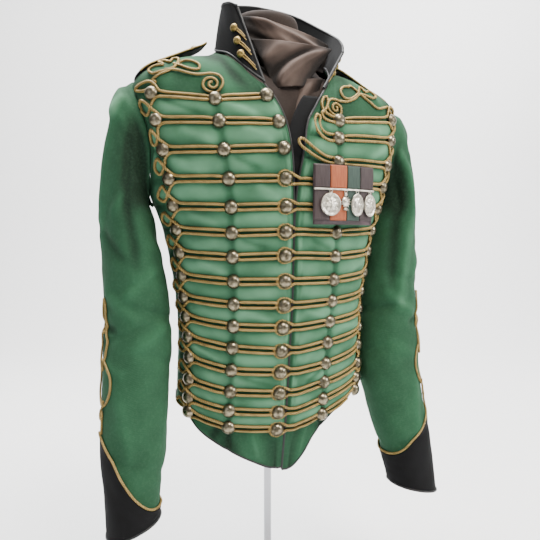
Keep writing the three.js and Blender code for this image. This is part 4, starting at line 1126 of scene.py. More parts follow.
@dataclass
class Back(Surface):
    """The back: u runs from the wearer's left side seam (-1) to the right one (1), v upward."""

    facing: float = 1.0
    inset: float = 0.7
    drop: float = 16

    def line(self, k: int, b: np.ndarray) -> tuple:
        """Angle and height of one of its levels."""
        if k <= 5:
            z = blend(386 - self.drop * (1 - b * b), ARMPIT_Z, k / 5)
            return 180 + b * (180 - SIDE_SEAM - self.inset), z
        if k <= 9:
            z = np.full_like(b, [668, 705, 750, 790][k - 6], dtype=float)
            return 180 + b * (180 - ARMHOLE(z, 2) - self.inset), z
        angle, z = self.line(9, b)
        size = np.abs(b)
        turn = 180 - blend(0, 90 - self.inset, np.minimum(size / 0.5, 1))
        neck = blend(NECK_SIDE_Z, NECK_BACK_Z, np.sin(np.radians(turn - 90)))
        ridge_z = blend(NECK_SIDE_Z, SHOULDER_Z, np.clip((size - 0.5) / 0.5, 0, 1))
        over = size > 0.5
        top_z = np.where(over, ridge_z, neck)
        top_x = np.where(over, TORSO(ridge_z, 1), np.abs(body_point(turn, neck)[..., 0]))
        share = [0.3, 0.65, 1][k - 10]
        high = blend(z, top_z, share)
        x = blend(np.abs(body_point(angle, z)[..., 0]), top_x, share)
        bend = np.maximum(180 - np.abs(angle_at(x, high)), 90 + self.inset)
        bend = np.where(over, np.where(share == 1, 90 + self.inset, bend), np.where(share == 1, turn, bend))
        edge = np.maximum(ARMHOLE(np.minimum(high, SHOULDER_Z), 2), 90) + self.inset
        bend = blend(bend, edge, np.clip((size - 0.87) / 0.13, 0, 1))
        return np.where(b > 0, 360 - bend, bend), high

    def point(self, u: np.ndarray, v: np.ndarray) -> np.ndarray:
        """Points of the back without its relief."""
        u, v = np.broadcast_arrays(np.clip(u, -1, 1), np.clip(v, 0, 12))
        if not hasattr(self, "chart"):
            b = np.linspace(-1, 1, 401)
            rows = [self.line(k, b) for k in range(13)]
            self.chart = np.array([np.stack(row) for row in rows])
        k = np.clip(np.floor(v).astype(int), 0, 11)
        at = (u + 1) * 200
        i = np.clip(np.floor(at).astype(int), 0, 399)
        g, f = at - i, v - k
        low = [blend(self.chart[k, c, i], self.chart[k, c, i + 1], g) for c in (0, 1)]
        high = [blend(self.chart[k + 1, c, i], self.chart[k + 1, c, i + 1], g) for c in (0, 1)]
        return body_point(blend(low[0], high[0], f), blend(low[1], high[1], f))

    def relief(self, u: np.ndarray, v: np.ndarray) -> np.ndarray:
        """Sewn-in seams, with drag lines at the shoulder blades and the waist."""
        u, v = np.broadcast_arrays(u, v)
        x, y = u * 190, v * 45
        calm = (1 - ease(np.abs(u), 0.88, 1)) * (1 - ease(v, 11, 12)) * ease(v, 0, 0.6)
        curve = 0.34 + 0.1 * ease(v, 2, 7) + 0.28 * ease(v, 6, 10)
        out = -1.4 * np.exp(-(u / 0.014) ** 2) - 1.4 * np.exp(-((np.abs(u) - curve) / 0.014) ** 2)
        for side in (-1, 1):
            out += 2.4 * ridge(x, y, (side * 150, 330, side * 70, 395), 9)
            out += 2.0 * ridge(x, y, (side * 165, 290, side * 95, 250), 10)
            out += 1.8 * ridge(x, y, (side * 30, 60, side * 110, 95), 9)
            out += 1.6 * ridge(x, y, (side * 25, 120, side * 120, 135), 8)
        return out * calm + 0.8 * ripple(x, y, 26.0) * calm


class Collar(Surface):
    """Standing collar: u runs from the right front edge (0) round the back to the left (10)."""

    facing = -1.0

    def __init__(self) -> None:
        """Takes the line of its base from the neckline and of its top from a table."""
        feet = []
        for side in Side:
            shares = [0, 0.45, 0.8, 1]
            edge = float(FRONTS[side].columns(NECK_FRONT_Z, 1))
            row = []
            for share in shares:
                x = side.value * blend(edge, NECK_SIDE_X, share)
                z = blend(NECK_FRONT_Z, NECK_SIDE_Z, share ** 1.6)
                angle = side.value * 90 if share == 1 else float(angle_at(x, z))
                row.append(body_point(angle, z))
            feet.append(row)
        rear = [body_point(a, blend(NECK_SIDE_Z, NECK_BACK_Z, math.sin(math.radians(abs(a) - 90))))
                for a in (-135, 180, 135)]
        line = np.array(feet[0] + rear + feet[1][::-1])
        self.base = Table([(k, *p) for k, p in enumerate(line)])
        self.top = Table([
            (0, -64, -54, 921), (1, -72, -44, 927), (2, -76, -22, 933), (3, -72, 4, 938),
            (4, -50, 50, 958), (5, 6, 70, 969), (6, 62, 52, 955), (7, 98, 4, 918), (8, 108, -22, 900),
            (9, 108, -42, 884), (10, 103, -56, 868),
        ])

    def point(self, u: np.ndarray, v: np.ndarray) -> np.ndarray:
        """Points of the collar."""
        u, v = np.broadcast_arrays(np.clip(u, 0, 10), np.clip(v, 0, 1))
        low = np.stack([self.base(u, c) for c in (1, 2, 3)], -1) + np.array([0, 0, 2.4])
        high = np.stack([self.top(u, c) for c in (1, 2, 3)], -1)
        return blend(low, high, v[..., None])

    def relief(self, u: np.ndarray, v: np.ndarray) -> np.ndarray:
        """A stiff stand with a slight roll and a soft buckle at the back."""
        roll = 1.2 * np.sin(np.pi * np.clip(v, 0, 1))
        return roll * ease(u, 0.2, 1) * (1 - ease(u, 9, 9.8)) + 0.5 * ripple(u * 45, v * 60, 24.0)


@dataclass
class Sleeve(Surface):
    """Sleeve: u is a quarter turn from the armpit (0) over the front (1), v runs down from the armhole."""

    side: Side
    sections: Table
    tilt: float
    tall: float
    low: float
    creases: list
    steep: float = 1.3
    loop: bool = True

    def __post_init__(self) -> None:
        """Keeps the height of the sleeve's end."""
        self.facing = -float(self.side.value)
        self.lowest = self.sections.rows[0, 0]

    def armhole(self, turn: np.ndarray) -> np.ndarray:
        """The armhole's edge at an angle round the sleeve."""
        front = np.interp(turn, np.array([0, 8, 11]) * 180 / 11, [11, 15, 16])
        over = FRONTS[self.side].point(np.full_like(front, 4.0), front)
        t = np.clip((turn - 180) / 22.5, 0, 8)
        z = np.interp(t, range(8), [808, 801.7, 795.4, 790, 750, 705, 668, 646])
        angle = np.maximum(ARMHOLE(z, 2), np.where(t < 3, 90, 0)) + 0.7
        behind = body_point(self.side.value * angle, z)
        armpit = FRONTS[self.side].point(np.array(4.0), np.array(11.0))
        behind = blend(behind, armpit, np.clip(t - 7, 0, 1)[..., None])
        start = np.where((turn <= 180)[..., None], over, behind)
        return start + np.array([self.side.value * 1.6, 0, 0])

    def ring(self, turn: np.ndarray, z: np.ndarray) -> np.ndarray:
        """Points of the hanging part of the sleeve."""
        c, s = np.cos(np.radians(turn)), np.sin(np.radians(turn))
        read = [self.sections(z, k) for k in (1, 2, 3, 4)]
        near = np.minimum(turn, 360 - turn)
        dent = np.zeros_like(z)
        for at, angle, slope, high, wide, depth in (
                (600, 40, 0.5, 16, 60, 5), (520, 100, -0.25, 9, 55, 3.5), (478, 60, 0.2, 9, 60, 5),
                (452, 120, -0.3, 8, 50, 3.5), (415, 55, 0.3, 9, 50, 3.5), (272, 70, 0.25, 8, 70, 4)):
            gap = (z - at - slope * (near - angle)) / high
            dent = dent + depth * np.exp(-((near - angle) / wide) ** 2 - gap ** 2)
        x = read[0] - self.side.value * np.sign(c) * np.abs(c) ** 0.95 * (read[2] - dent)
        y = read[1] - np.sign(s) * np.abs(s) ** 0.95 * (read[3] - dent)
        slant = np.clip((290 - z) / (290 - self.lowest), 0, 1) * self.tilt
        return np.stack([x, y, z + (x - read[0]) * slant], -1)

    def point(self, u: np.ndarray, v: np.ndarray) -> np.ndarray:
        """Points of the sleeve without its relief."""
        u, v = np.broadcast_arrays(np.mod(u, 4), np.clip(v, 0, 3))
        turn = u * 90.0
        z = blend(636, self.lowest, np.clip((v - 1) / 2, 0, 1))
        hanging = self.ring(turn, z)
        a = self.armhole(turn)
        b = self.ring(turn, np.full_like(z, 636.0))
        bend = np.stack([blend(a[..., 0], b[..., 0], 0.86), blend(a[..., 1], b[..., 1], 0.6),
                         blend(a[..., 2], b[..., 2], 0.1)], -1)
        t = np.clip(v, 0, 1)[..., None]
        cap = a * (1 - t) ** 2 + bend * 2 * t * (1 - t) + b * t * t
        return np.where((v < 1)[..., None], cap, hanging)

    def relief(self, u: np.ndarray, v: np.ndarray) -> np.ndarray:
        """Creases of the upper arm, elbow and wrist, that fade out at both ends."""
        u, v = np.broadcast_arrays(np.mod(u, 4), np.clip(v, 0, 3))
        x, y = u * 75, np.where(v < 1, v * 170, 170 + (v - 1) * 215)
        out = np.zeros(u.shape)
        for u0, v0, u1, v1, high, wide in self.creases:
            for turn in (-4, 0, 4):
                out = out + 1.25 * high * ridge(x, y, ((u0 + turn) * 75, v0, (u1 + turn) * 75, v1), wide)
        return (out + 0.7 * ripple(x, y, 20.0)) * ease(v, 0.02, 0.25) * (1 - ease(v, 2.62, 2.85))

    def cuff_top(self, turn: np.ndarray) -> np.ndarray:
        """How far the facing reaches up the sleeve at an angle round it, in mm."""
        share = (1 - np.cos(np.radians(turn))) / 2
        return blend(self.low, self.tall, share ** self.steep)

    def up_from_end(self, high: np.ndarray) -> np.ndarray:
        """Parameter v of a place so many mm above the end."""
        return 3 - 2 * high / (636 - self.lowest)

    def laid(self, path: list, lift: float, step: float = 1.6) -> np.ndarray:
        """Line over the cloth through (turn in degrees, height in mm) places."""
        scale = np.array([0.83, 1.0])
        line = through(np.array([p[:2] for p in path]) * scale, step) / scale
        v = 1 + 2 * (636 - line[:, 1]) / (636 - self.lowest)
        p, n = self.worn(line[:, 0] / 90, v)
        return p + n * lift


FRONTS = {side: make_front(side) for side in Side}


def make_sleeve(side: Side) -> Sleeve:
    """Sleeve of one side with its sections and creases.

    Args:
        side: which side.

    Returns:
        The sleeve's shape.
    """
    if side is Side.RIGHT:
        sections = Table([
            (636, -218, 4, 35, 66), (600, -213, 4, 40, 63), (550, -209, 1, 44, 60), (505, -205, -5, 47, 57),
            (465, -204, -11, 48, 55), (425, -205, -20, 49, 53), (380, -209, -32, 47, 50),
            (330, -213, -46, 46, 47), (285, -215, -58, 44, 44), (245, -217, -68, 38, 41),
            (196, -219, -80, 34, 38)])
        creases = [
            (0.75, 14, 0.7, 175, -8.5, 36), (2.0, 25, 2.0, 80, 5.5, 45), (1.2, 60, 1.0, 260, -3.6, 9),
            (1.6, 30, 1.9, 230, 4.2, 11), (0.7, 120, 1.5, 190, 2.6, 8),
            (1.9, 200, 1.2, 250, -2.4, 8), (0.6, 260, 1.3, 300, 3.0, 8), (1.8, 290, 1.1, 330, 2.8, 8),
            (2.2, 330, 1.5, 345, -2.6, 7), (0.5, 340, 1.2, 372, 2.8, 8), (1.9, 385, 1.3, 405, 2.0, 7),
            (1.4, 430, 1.1, 510, 2.0, 9), (3.2, 40, 2.8, 260, 2.6, 12), (2.9, 300, 3.5, 350, 2.6, 9),
            (3.6, 380, 2.9, 420, -2.2, 9)]
        return Sleeve(side, sections, 0.4, 118, 14, creases, 2.0)
    sections = Table([
        (636, 218, 4, 35, 66), (600, 213, 4, 41, 63), (550, 209, 1, 44, 60), (505, 206, -5, 47, 57),
        (465, 204, -11, 48, 55), (425, 200, -20, 50, 53), (380, 196, -33, 50, 50), (335, 199, -47, 46, 47),
        (290, 204, -60, 43, 44), (245, 209, -72, 38, 41), (200, 213, -84, 34, 38)])
    creases = [
        (0.7, 14, 0.65, 175, -6.5, 34), (2.0, 25, 2.0, 80, 3.5, 45), (1.0, 40, 1.15, 150, 5.2, 9),
        (1.15, 140, 0.95, 330, 4.0, 10), (0.6, 60, 0.8, 300, -3.6, 11),
        (1.6, 40, 1.5, 210, -2.6, 9), (1.9, 230, 1.2, 280, 2.6, 8), (0.6, 300, 1.3, 335, 2.8, 8),
        (1.9, 330, 1.2, 352, -2.4, 7), (0.7, 380, 1.3, 402, 2.2, 8), (1.3, 430, 1.1, 520, 1.8, 9),
        (3.2, 40, 2.8, 260, 2.6, 12), (2.9, 300, 3.5, 350, 2.6, 9), (3.6, 380, 2.9, 420, -2.2, 9)]
    return Sleeve(side, sections, -0.2, 118, 46, creases)


# Cloth pieces


def line_inside(obj: bpy.types.Object, material: bpy.types.Material, cells: int) -> None:
    """Gives the inner side of a shell its own finish."""
    obj.data.materials.append(material)
    index = np.zeros(len(obj.data.polygons), np.int32)
    index[1:2 * cells:2] = 1
    obj.data.polygons.foreach_set("material_index", index)


@dataclass
class Body:
    """Fronts and back of the jacket, lined with black, with piped edges and pressed seams."""

    shop: Workshop
    back: Back = field(default_factory=Back)

    def build(self) -> None:
        """Makes the three panels and their bindings."""
        for side, front in FRONTS.items():
            u, v = np.meshgrid(np.linspace(0, 4, 113), np.linspace(0, TOP, 193))
            outer, normal = front.worn(u, v)
            # The puffs' heights ride on the cloth and paint shade into its dips and a highlight onto its
            # crests
            obj = shell(f"front_cloth_{side.label}", outer, normal, WALL, relief=front.relief(u, v))
            dress(obj, self.shop.finish.green, "green_wool", f"front_{side.label}")
            line_inside(obj, self.shop.finish.black, 112 * 192)
            edge = front.laid([(0.0, v) for v in np.linspace(0.02, TOP, 60)], -0.9, 3)
            hem = front.laid([(u, 0.0) for u in np.linspace(0, 4, 40)], -0.9, 3)
            welt = front.laid([(4.0, v) for v in np.linspace(11, TOP, 20)], -0.6, 3)
            self.shop.binding(f"front_binding_{side.label}", [edge, hem], 1.7, "black_wool")
            self.shop.binding(f"armhole_welt_{side.label}", [welt], 1.3, "green_wool", self.shop.green_tree)
        self.facing_strip()
        u, v = np.meshgrid(np.linspace(-1, 1, 121), np.linspace(0, 12, 109))
        outer, normal = self.back.worn(u, v)
        # The seams' and drag lines' heights paint shade into the dips and a highlight onto the ridges
        obj = shell("back_panel", outer, normal, WALL, relief=self.back.relief(u, v))
        dress(obj, self.shop.finish.green, "green_wool", "back")
        line_inside(obj, self.shop.finish.black, 120 * 108)
        p, n = self.back.worn(np.linspace(-1, 1, 60), np.zeros(60))
        self.shop.binding("back_hem_binding", [p - n * 0.9], 1.7, "black_wool")

    def facing_strip(self) -> None:
        """Dark cloth in the opening of the neck, read as an underlay behind the left edge."""
        wide, low, high, depth, thick = (-24, 12), 560, 792, 4.2, 1.2
        z = np.linspace(low, high, 60)[:, None]
        x = FRONTS[Side.LEFT].columns(z, 1) + np.linspace(*wide, 13)[None]
        z = np.broadcast_to(z, x.shape)
        angle = angle_at(x, z)
        n = body_normal(angle, z)
        outer = body_point(angle, z) - n * depth
        obj = shell("neck_facing", outer, n, thick)
        dress(obj, self.shop.finish.black, "black_wool")


@dataclass
class CollarPiece:
    """Black standing collar with leather piping, small domes and short slanting cords."""

    shop: Workshop
    shape: Collar = field(default_factory=Collar)

    def build(self) -> None:
        """Makes the collar and its trim."""
        shape = self.shape
        u, v = np.meshgrid(np.linspace(0, 10, 161), np.linspace(0, 1, 25))
        outer, normal = shape.worn(u, v)
        # The roll's heights paint faint shade into the dips and a highlight onto the ridges of the black wool
        obj = shell("standing_collar", outer, normal, WALL, relief=shape.relief(u, v))
        dress(obj, self.shop.finish.black, "black_wool", "collar")
        lines = []
        for line in ([(0, 0), (0, 0.5), (0, 0.97)], [(k, 1.0) for k in np.linspace(0, 10, 90)],
                     [(10, 0.97), (10, 0.5), (10, 0)], [(k, 0.02) for k in np.linspace(0, 10, 90)]):
            p, n = shape.worn(*np.array(line, float).T)
            lines.append(through(list(p - n * 1.0), 3))
        self.shop.binding("collar_binding", lines, 2.0, "black_wool")
        for side in Side:
            self.trim(side)

    def trim(self, side: Side) -> None:
        """Three domes beside the front edge, each on a short pair of cords."""
        flip = (lambda k: k) if side is Side.RIGHT else (lambda k: 10 - k)
        spots, lines = [], []
        for share in (0.2, 0.4, 0.6):
            p, n = self.shape.worn(np.array(flip(1.1)), np.array(share))
            spots.append((p + n * 0.8, n, 0.66))
            for off in (-0.02, 0.03):
                k = np.array([1.0, 0.75, 0.5, 0.3])
                v = share + off + np.array([0, -0.02, -0.05, -0.08])
                p, n = self.shape.worn(flip(k), v)
                lines.append(through(list(p + n * 1.3), 1.5))
        names = tuple(f"collar_dome_{side.label}_{k}" for k in (1, 2, 3))
        self.shop.buttons(f"collar_domes_{side.label}", spots, "gold_cord", self.shop.small_tree, names)
        self.shop.cords(f"collar_cords_{side.label}", lines, radius=1.1)


# Degrees round the sleeve from the armpit over the front to the middle of the forearm's knot
KNOT_TURN = {Side.RIGHT: 164.0, Side.LEFT: 144.0}


@dataclass
class SleevePiece:
    """Sleeve with its pointed black cuff, the cord round it and the knot on the forearm."""

    shop: Workshop
    side: Side

    def build(self) -> None:
        """Makes the sleeve, cuff and cords."""
        shape, label = make_sleeve(self.side), self.side.label
        u, v = np.meshgrid(np.linspace(0, 4, 121)[:-1], np.concatenate([
            np.linspace(0, 1, 50)[:-1], np.linspace(1, 3, 120)]))
        outer, normal = shape.worn(u, v)
        # A sleeve's creases are deeper than a puff, so their heights are eased before they paint shade into
        # the wool's dips and a highlight onto its ridges
        tone = 0.4 + 0.4 * shape.relief(u, v)
        obj = shell(f"sleeve_cloth_{label}", outer, normal, WALL, True, tone)
        dress(obj, self.shop.finish.green, "green_wool", f"sleeve_{label}")
        turn = np.linspace(0, 360, 121)[:-1]
        share = np.linspace(0, 1, 30)
        grid_u, grid_s = np.meshgrid(turn / 90, share)
        grid_v = shape.up_from_end(shape.cuff_top(grid_u * 90) * grid_s)
        p, n, _, _ = shape.smooth_frame(grid_u, grid_v)
        cuff = p + n * (2.5 + 0.5 * ripple(grid_u * 60, grid_s * 90, 18.0))[..., None]
        # The ripple's heights also paint faint shade into the cuff's dips and a highlight onto its swells
        obj = shell(f"cuff_facing_{label}", cuff, n, 1.6, True, ripple(grid_u * 60, grid_s * 90, 18.0))
        dress(obj, self.shop.finish.black, "black_wool", f"cuff_{label}")
        end = np.vstack([cuff[0], cuff[:1, 0]])
        self.shop.binding(f"cuff_binding_{label}", [through(list(end[::3]), 3)], 1.5, "black_wool")
        angle = np.linspace(0, 360, 73)
        high = shape.cuff_top(angle) + 2.4
        rim, out, _, _ = shape.smooth_frame(angle / 90, shape.up_from_end(high))
        self.shop.cords(f"cuff_cord_{label}", [through(list(rim + out * 2.3), 1.5)], radius=1.8)
        lines = self.knot(shape)
        self.shop.cords(f"forearm_knot_{label}", lines, radius=1.9, replaces=(f"sleeve_knot_{label}",))

    @staticmethod
    def knot(shape: Sleeve) -> list:
        """Long loops above a round one, with a curl and a stem below, laid on the outer side."""
        centre = KNOT_TURN[shape.side]

        def oval(z: float, high: float, wide: float, start: float, end: float) -> list:
            """Points of an oval round the knot's middle line."""
            angles = np.radians(np.linspace(start, end, 17))
            return [(centre + wide * math.sin(a), z + high * math.cos(a)) for a in angles]

        long_loop = oval(477, 24, 6, 184, 536)
        second = oval(432, 30, 10, 184, 536)
        ring = oval(386, 31, 24, 4, 356)
        curl = [(centre - 4, 362), (centre, 352), (centre + 6, 348), (centre + 8, 342),
                (centre + 3, 337), (centre - 3, 341), (centre, 348)]
        stem = [(centre, 340), (centre + 1, 328), (centre + 2, 318)]
        lines = []
        for path, lift in ((long_loop, 1.8), (second, 2.2), (ring, 1.8), (curl, 2.4), (stem, 1.8)):
            lines.append(shape.laid(path, lift))
        return lines


# Cords and buttons of the fronts


@dataclass
class Frogging:
    """Fifteen rows of paired cords: each upper cord rings round outside its button and carries on
    as the lower cord of the row above."""

    shop: Workshop
    side: Side
    lift: float = 1.9
    gap: float = 3.8
    ring_wide: float = 26
    button_lift: float = 3.3
    button_size: float = 1.1

    def ring(self, front: Front, r: int) -> list:
        """Way from the lower cord of the row above, round the ring, to the row's upper cord.

        Args:
            front: the cloth.
            r: the row, 0 at the top.

        Returns:
            Places (u, v, extra lift) on the front.
        """
        v = TOP - 1.0 - r
        tall = 36.0 if r == 0 else float(np.linalg.norm(
            front.point(np.array(3.0), np.array(v + 1)) - front.point(np.array(3.0), np.array(v))))
        k = min(tall, 38) / 36
        path = [(2, 20 * k, 0), (9, 10 * k, 0), (17, 7 * k, 0), (26, 14 * k, 0), (24.5, 23 * k, 0),
                (17, 27 * k, 0.4), (8.5, 22.5 * k, 1.8), (-1, 12.5 * k, 1.8), (-10, 5.6, 0.2)]
        if r > 0:
            path = [(-12, tall - 4.2, 0), (-5, tall - 7.5, 0), (0, tall - 13, 0)] + path
        # The ring is drawn narrower where the armhole leaves it less room
        ends = [front.point(np.array(u), np.array(v + 0.4)) for u in (3.0, 4.0)]
        wide = min(1.0, (float(np.linalg.norm(ends[1] - ends[0])) - 3.0) / self.ring_wide)
        path = [(out * wide if out > 0 else out, up, rise) for out, up, rise in path]
        return [(*front.shift(3.0, v, out, up), rise) for out, up, rise in path]

    def rail(self, front: Front, r: int, stops: list, up: int) -> list:
        """Places along one cord of a row, drawn together at the buttons."""
        v = TOP - 1.0 - r
        out = []
        for u in stops:
            near = min(abs(u - k) for k in (1, 2, 3))
            off = self.gap if near > 0.12 else 2.3
            out.append((*front.shift(u, v, 0, up * off), 0.0))
        return out

    def build(self) -> None:
        """Makes the cords and the domed buttons of one side."""
        front, lines, spots = FRONTS[self.side], [], []
        right = self.side is Side.RIGHT
        for r in range(len(ROWS)):
            v = TOP - 1.0 - r
            lower = self.rail(front, r, self.stops(r), -1)
            if r == 0:
                upper = self.rail(front, r, self.stops(r), 1)
                lines.append(front.laid(self.ring(front, r) + upper[::-1], self.lift))
            if r + 1 < len(ROWS):
                following = self.rail(front, r + 1, self.stops(r + 1), 1)
                lines.append(front.laid(lower + self.ring(front, r + 1) + following[::-1], self.lift))
            else:
                tail = [(*front.shift(3.0, v, out, up), 0.0) for out, up in ((-8, -4), (2, -9), (10, -3))]
                lines.append(front.laid(lower + tail, self.lift))
            for u in ((1, 2, 3) if right else (2, 3)):
                p, n = front.worn(np.array(float(u)), np.array(v))
                spots.append((p + n * self.button_lift, n, self.button_size))
        if not right:
            lines += self.centre_loops() + self.neck_loops()
        names = tuple(f"frog_{self.side.label}_{r + 1:02d}" for r in range(len(ROWS)))
        self.shop.cords(f"frog_cords_{self.side.label}", lines, replaces=names)
        self.shop.buttons(f"frog_buttons_{self.side.label}", spots, "gold_cord")

    def stops(self, r: int) -> list:
        """Places along a row where its cords are set down."""
        if self.side is Side.RIGHT:
            return [1.05, 1.2, 1.5, 1.82, 2, 2.18, 2.5, 2.72]
        return ([1.75] if r < 3 else [0.3, 0.7, 1.2, 1.7]) + [2, 2.18, 2.5, 2.72]

    def centre_loops(self) -> list:
        """Loops of the left pairs that cross the opening and hold the centre buttons."""
        left, right, lines = FRONTS[Side.LEFT], FRONTS[Side.RIGHT], []
        for r in range(3, len(ROWS)):
            v = np.array(TOP - 1.0 - r)
            middle, out = right.worn(np.array(1.0), v)
            ahead, _ = right.worn(np.array(1.3), v)
            side = unit(ahead - middle)
            up = unit(np.cross(out, side)) * (-1 if np.cross(out, side)[2] < 0 else 1)
            ends = []
            for way in (1, -1):
                places = [left.shift(u, float(v), 0, way * self.gap) for u in (0.3, 0.08)]
                p, n = left.worn(*np.array(places).T)
                ends.append(list(p + n * self.lift))
            turns = np.radians([128, 95, 60, 25, 0, -25, -60, -95, -128])
            loop = [middle + side * 10.6 * math.cos(t) + up * 10.6 * math.sin(t)
                    + out * (self.lift + 1.6 * max(math.cos(t), 0)) for t in turns]
            lines.append(through(ends[0] + loop + ends[1][::-1], 1.5))
        return lines

    @staticmethod
    def neck_loops() -> list:
        """Upright loops of the two top rows on the left, and the free loop of the third."""
        paths = [
            [(66, 758, 3), (57, 761, 3), (49, 767, 3), (47, 777, 3), (51, 786, 3), (56, 788, 3),
             (57, 779, 3), (51, 768, 3.4), (45, 763, 3.4), (49, 755, 3), (58, 752, 3), (66, 751, 3)],
            [(62, 733, 3), (51, 734, 3), (43, 739, 3), (40, 748, 3), (42, 757, 3), (37, 760, 3),
             (33, 751, 3), (34, 741, 3.4), (39, 733, 3.4), (47, 727, 3), (56, 724, 3), (64, 725, 3)],
            [(62, 700, 3), (46, 702, 4), (31, 710, 5), (19, 719, 5), (11, 724, 5), (6, 721, 5),
             (9, 714, 5), (19, 707, 5), (31, 700, 5), (46, 694, 4), (62, 692, 3)],
        ]
        lines = []
        for path in paths:
            points = []
            for x, z, lift in path:
                p, n = body_at(x, z)
                points.append(p + n * lift)
            lines.append(through(points, 1.5))
        return lines


@dataclass
class ChestKnot:
    """Three-leaved knot and spiral of one cord, above the top row."""

    shop: Workshop
    side: Side

    def path(self) -> list:
        """Runs of places (x, z) from the top row's ring to the middle of the spiral."""
        if self.side is Side.RIGHT:
            return [[(-191, 797), (-183, 806), (-175, 811), (-162, 817), (-151, 826), (-146, 836),
                     (-152, 840), (-158, 833), (-164, 840), (-171, 836), (-167, 829), (-176, 828),
                     (-186, 822), (-182, 815), (-169, 817), (-156, 822), (-146, 830), (-134, 832),
                     (-122, 826), (-123, 818), (-134, 819), (-146, 825), (-154, 829)],
                    [(-166, 819), (-152, 818), (-138, 813), (-124, 810), (-108, 811), (-96, 807),
                     (-93, 798), (-98, 789), (-108, 785), (-117, 789), (-120, 796), (-116, 803),
                     (-108, 805), (-101, 801), (-101, 795), (-106, 791), (-112, 794), (-111, 799),
                     (-107, 799)]]
        return [[(163, 776), (152, 783), (135, 790), (121, 799), (112, 808), (106, 814), (102, 811),
                (97, 811), (89, 808), (83, 801), (86, 792), (96, 790), (108, 796), (117, 804),
                (122, 812), (126, 811), (130, 805), (139, 808), (148, 806), (149, 800), (140, 797),
                (128, 800), (117, 800), (108, 793), (96, 787), (80, 785), (64, 786), (57, 779),
                (58, 769), (66, 762), (75, 764), (79, 771), (76, 779), (69, 780), (64, 775),
                (66, 769), (71, 769), (72, 774), (69, 775)]]

    def build(self) -> None:
        """Lays the knot on the front."""
        front = FRONTS[self.side]
        runs = [[(*front.locate(x, z), 0.0) for x, z in run] for run in self.path()]
        runs[0][0] = (*front.shift(3.0, TOP - 1.0, 2, 20), 0.0)
        lines = [front.laid(run, 1.9 + 0.6 * k) for k, run in enumerate(runs)]
        self.shop.cords(f"chest_knot_cord_{self.side.label}", lines, radius=2.0,
                        replaces=(f"chest_knot_{self.side.label}",))


@dataclass
class Strap:
    """Stiff pointed shoulder strap edged with gold cord, lifting at its inner end."""

    shop: Workshop
    side: Side
    thick: float = 3.0
    outline: list = field(default_factory=lambda: [
        (203, 17, 2.4), (188, 19, 2.2), (160, 20, 2.6), (122, 20, 8), (106, 14, 12), (97, 2, 17)])

    def crown(self, x: float) -> float:
        """Height of the shoulder's ridge at x."""
        low, high = SHOULDER_Z - 20.0, float(NECK_SIDE_Z)
        for _ in range(24):
            z = (low + high) / 2
            low, high = (z, high) if TORSO(z, 1) > abs(x) else (low, z)
        return float(body_point(90.0 if x > 0 else -90.0, low)[2])

    def build(self) -> None:
        """Makes the strap, its cords and its button."""
        s, rows = self.side.value, Table(self.outline)
        x = np.linspace(self.outline[-1][0], self.outline[0][0], 60)
        half, rise = rows(x, 1), rows(x, 2)
        top = np.array([self.crown(s * q) for q in x]) + rise + self.thick
        w = np.linspace(-1, 1, 17)
        outer = np.stack([np.broadcast_to(s * x[:, None], (60, 17)), w[None] * half[:, None],
                          top[:, None] - 1.2 * w[None] ** 2], -1)
        du, dv = np.gradient(outer, axis=0), np.gradient(outer, axis=1)
        normal = unit(np.cross(du, dv))
        normal *= np.sign(normal[..., 2:3])
        obj = shell(f"strap_{self.side.label}", outer, normal, self.thick)
        dress(obj, self.shop.finish.black, "black_wool", f"shoulder_strap_{self.side.label}")
        lines = []
        for edge in (0, -1):
            lines.append(through(list(outer[::4, edge] + normal[::4, edge] * -0.6), 1.5))
        lines.append(through(list(outer[0] + normal[0] * -0.6), 1.0))
        self.shop.cords(f"strap_cords_{self.side.label}", lines, radius=1.5)
        k = 10
        spot = (outer[k, 8] + normal[k, 8] * 0.2, normal[k, 8], 0.68)
        self.shop.buttons(f"strap_button_{self.side.label}", [spot], "gold_cord")


# Medals


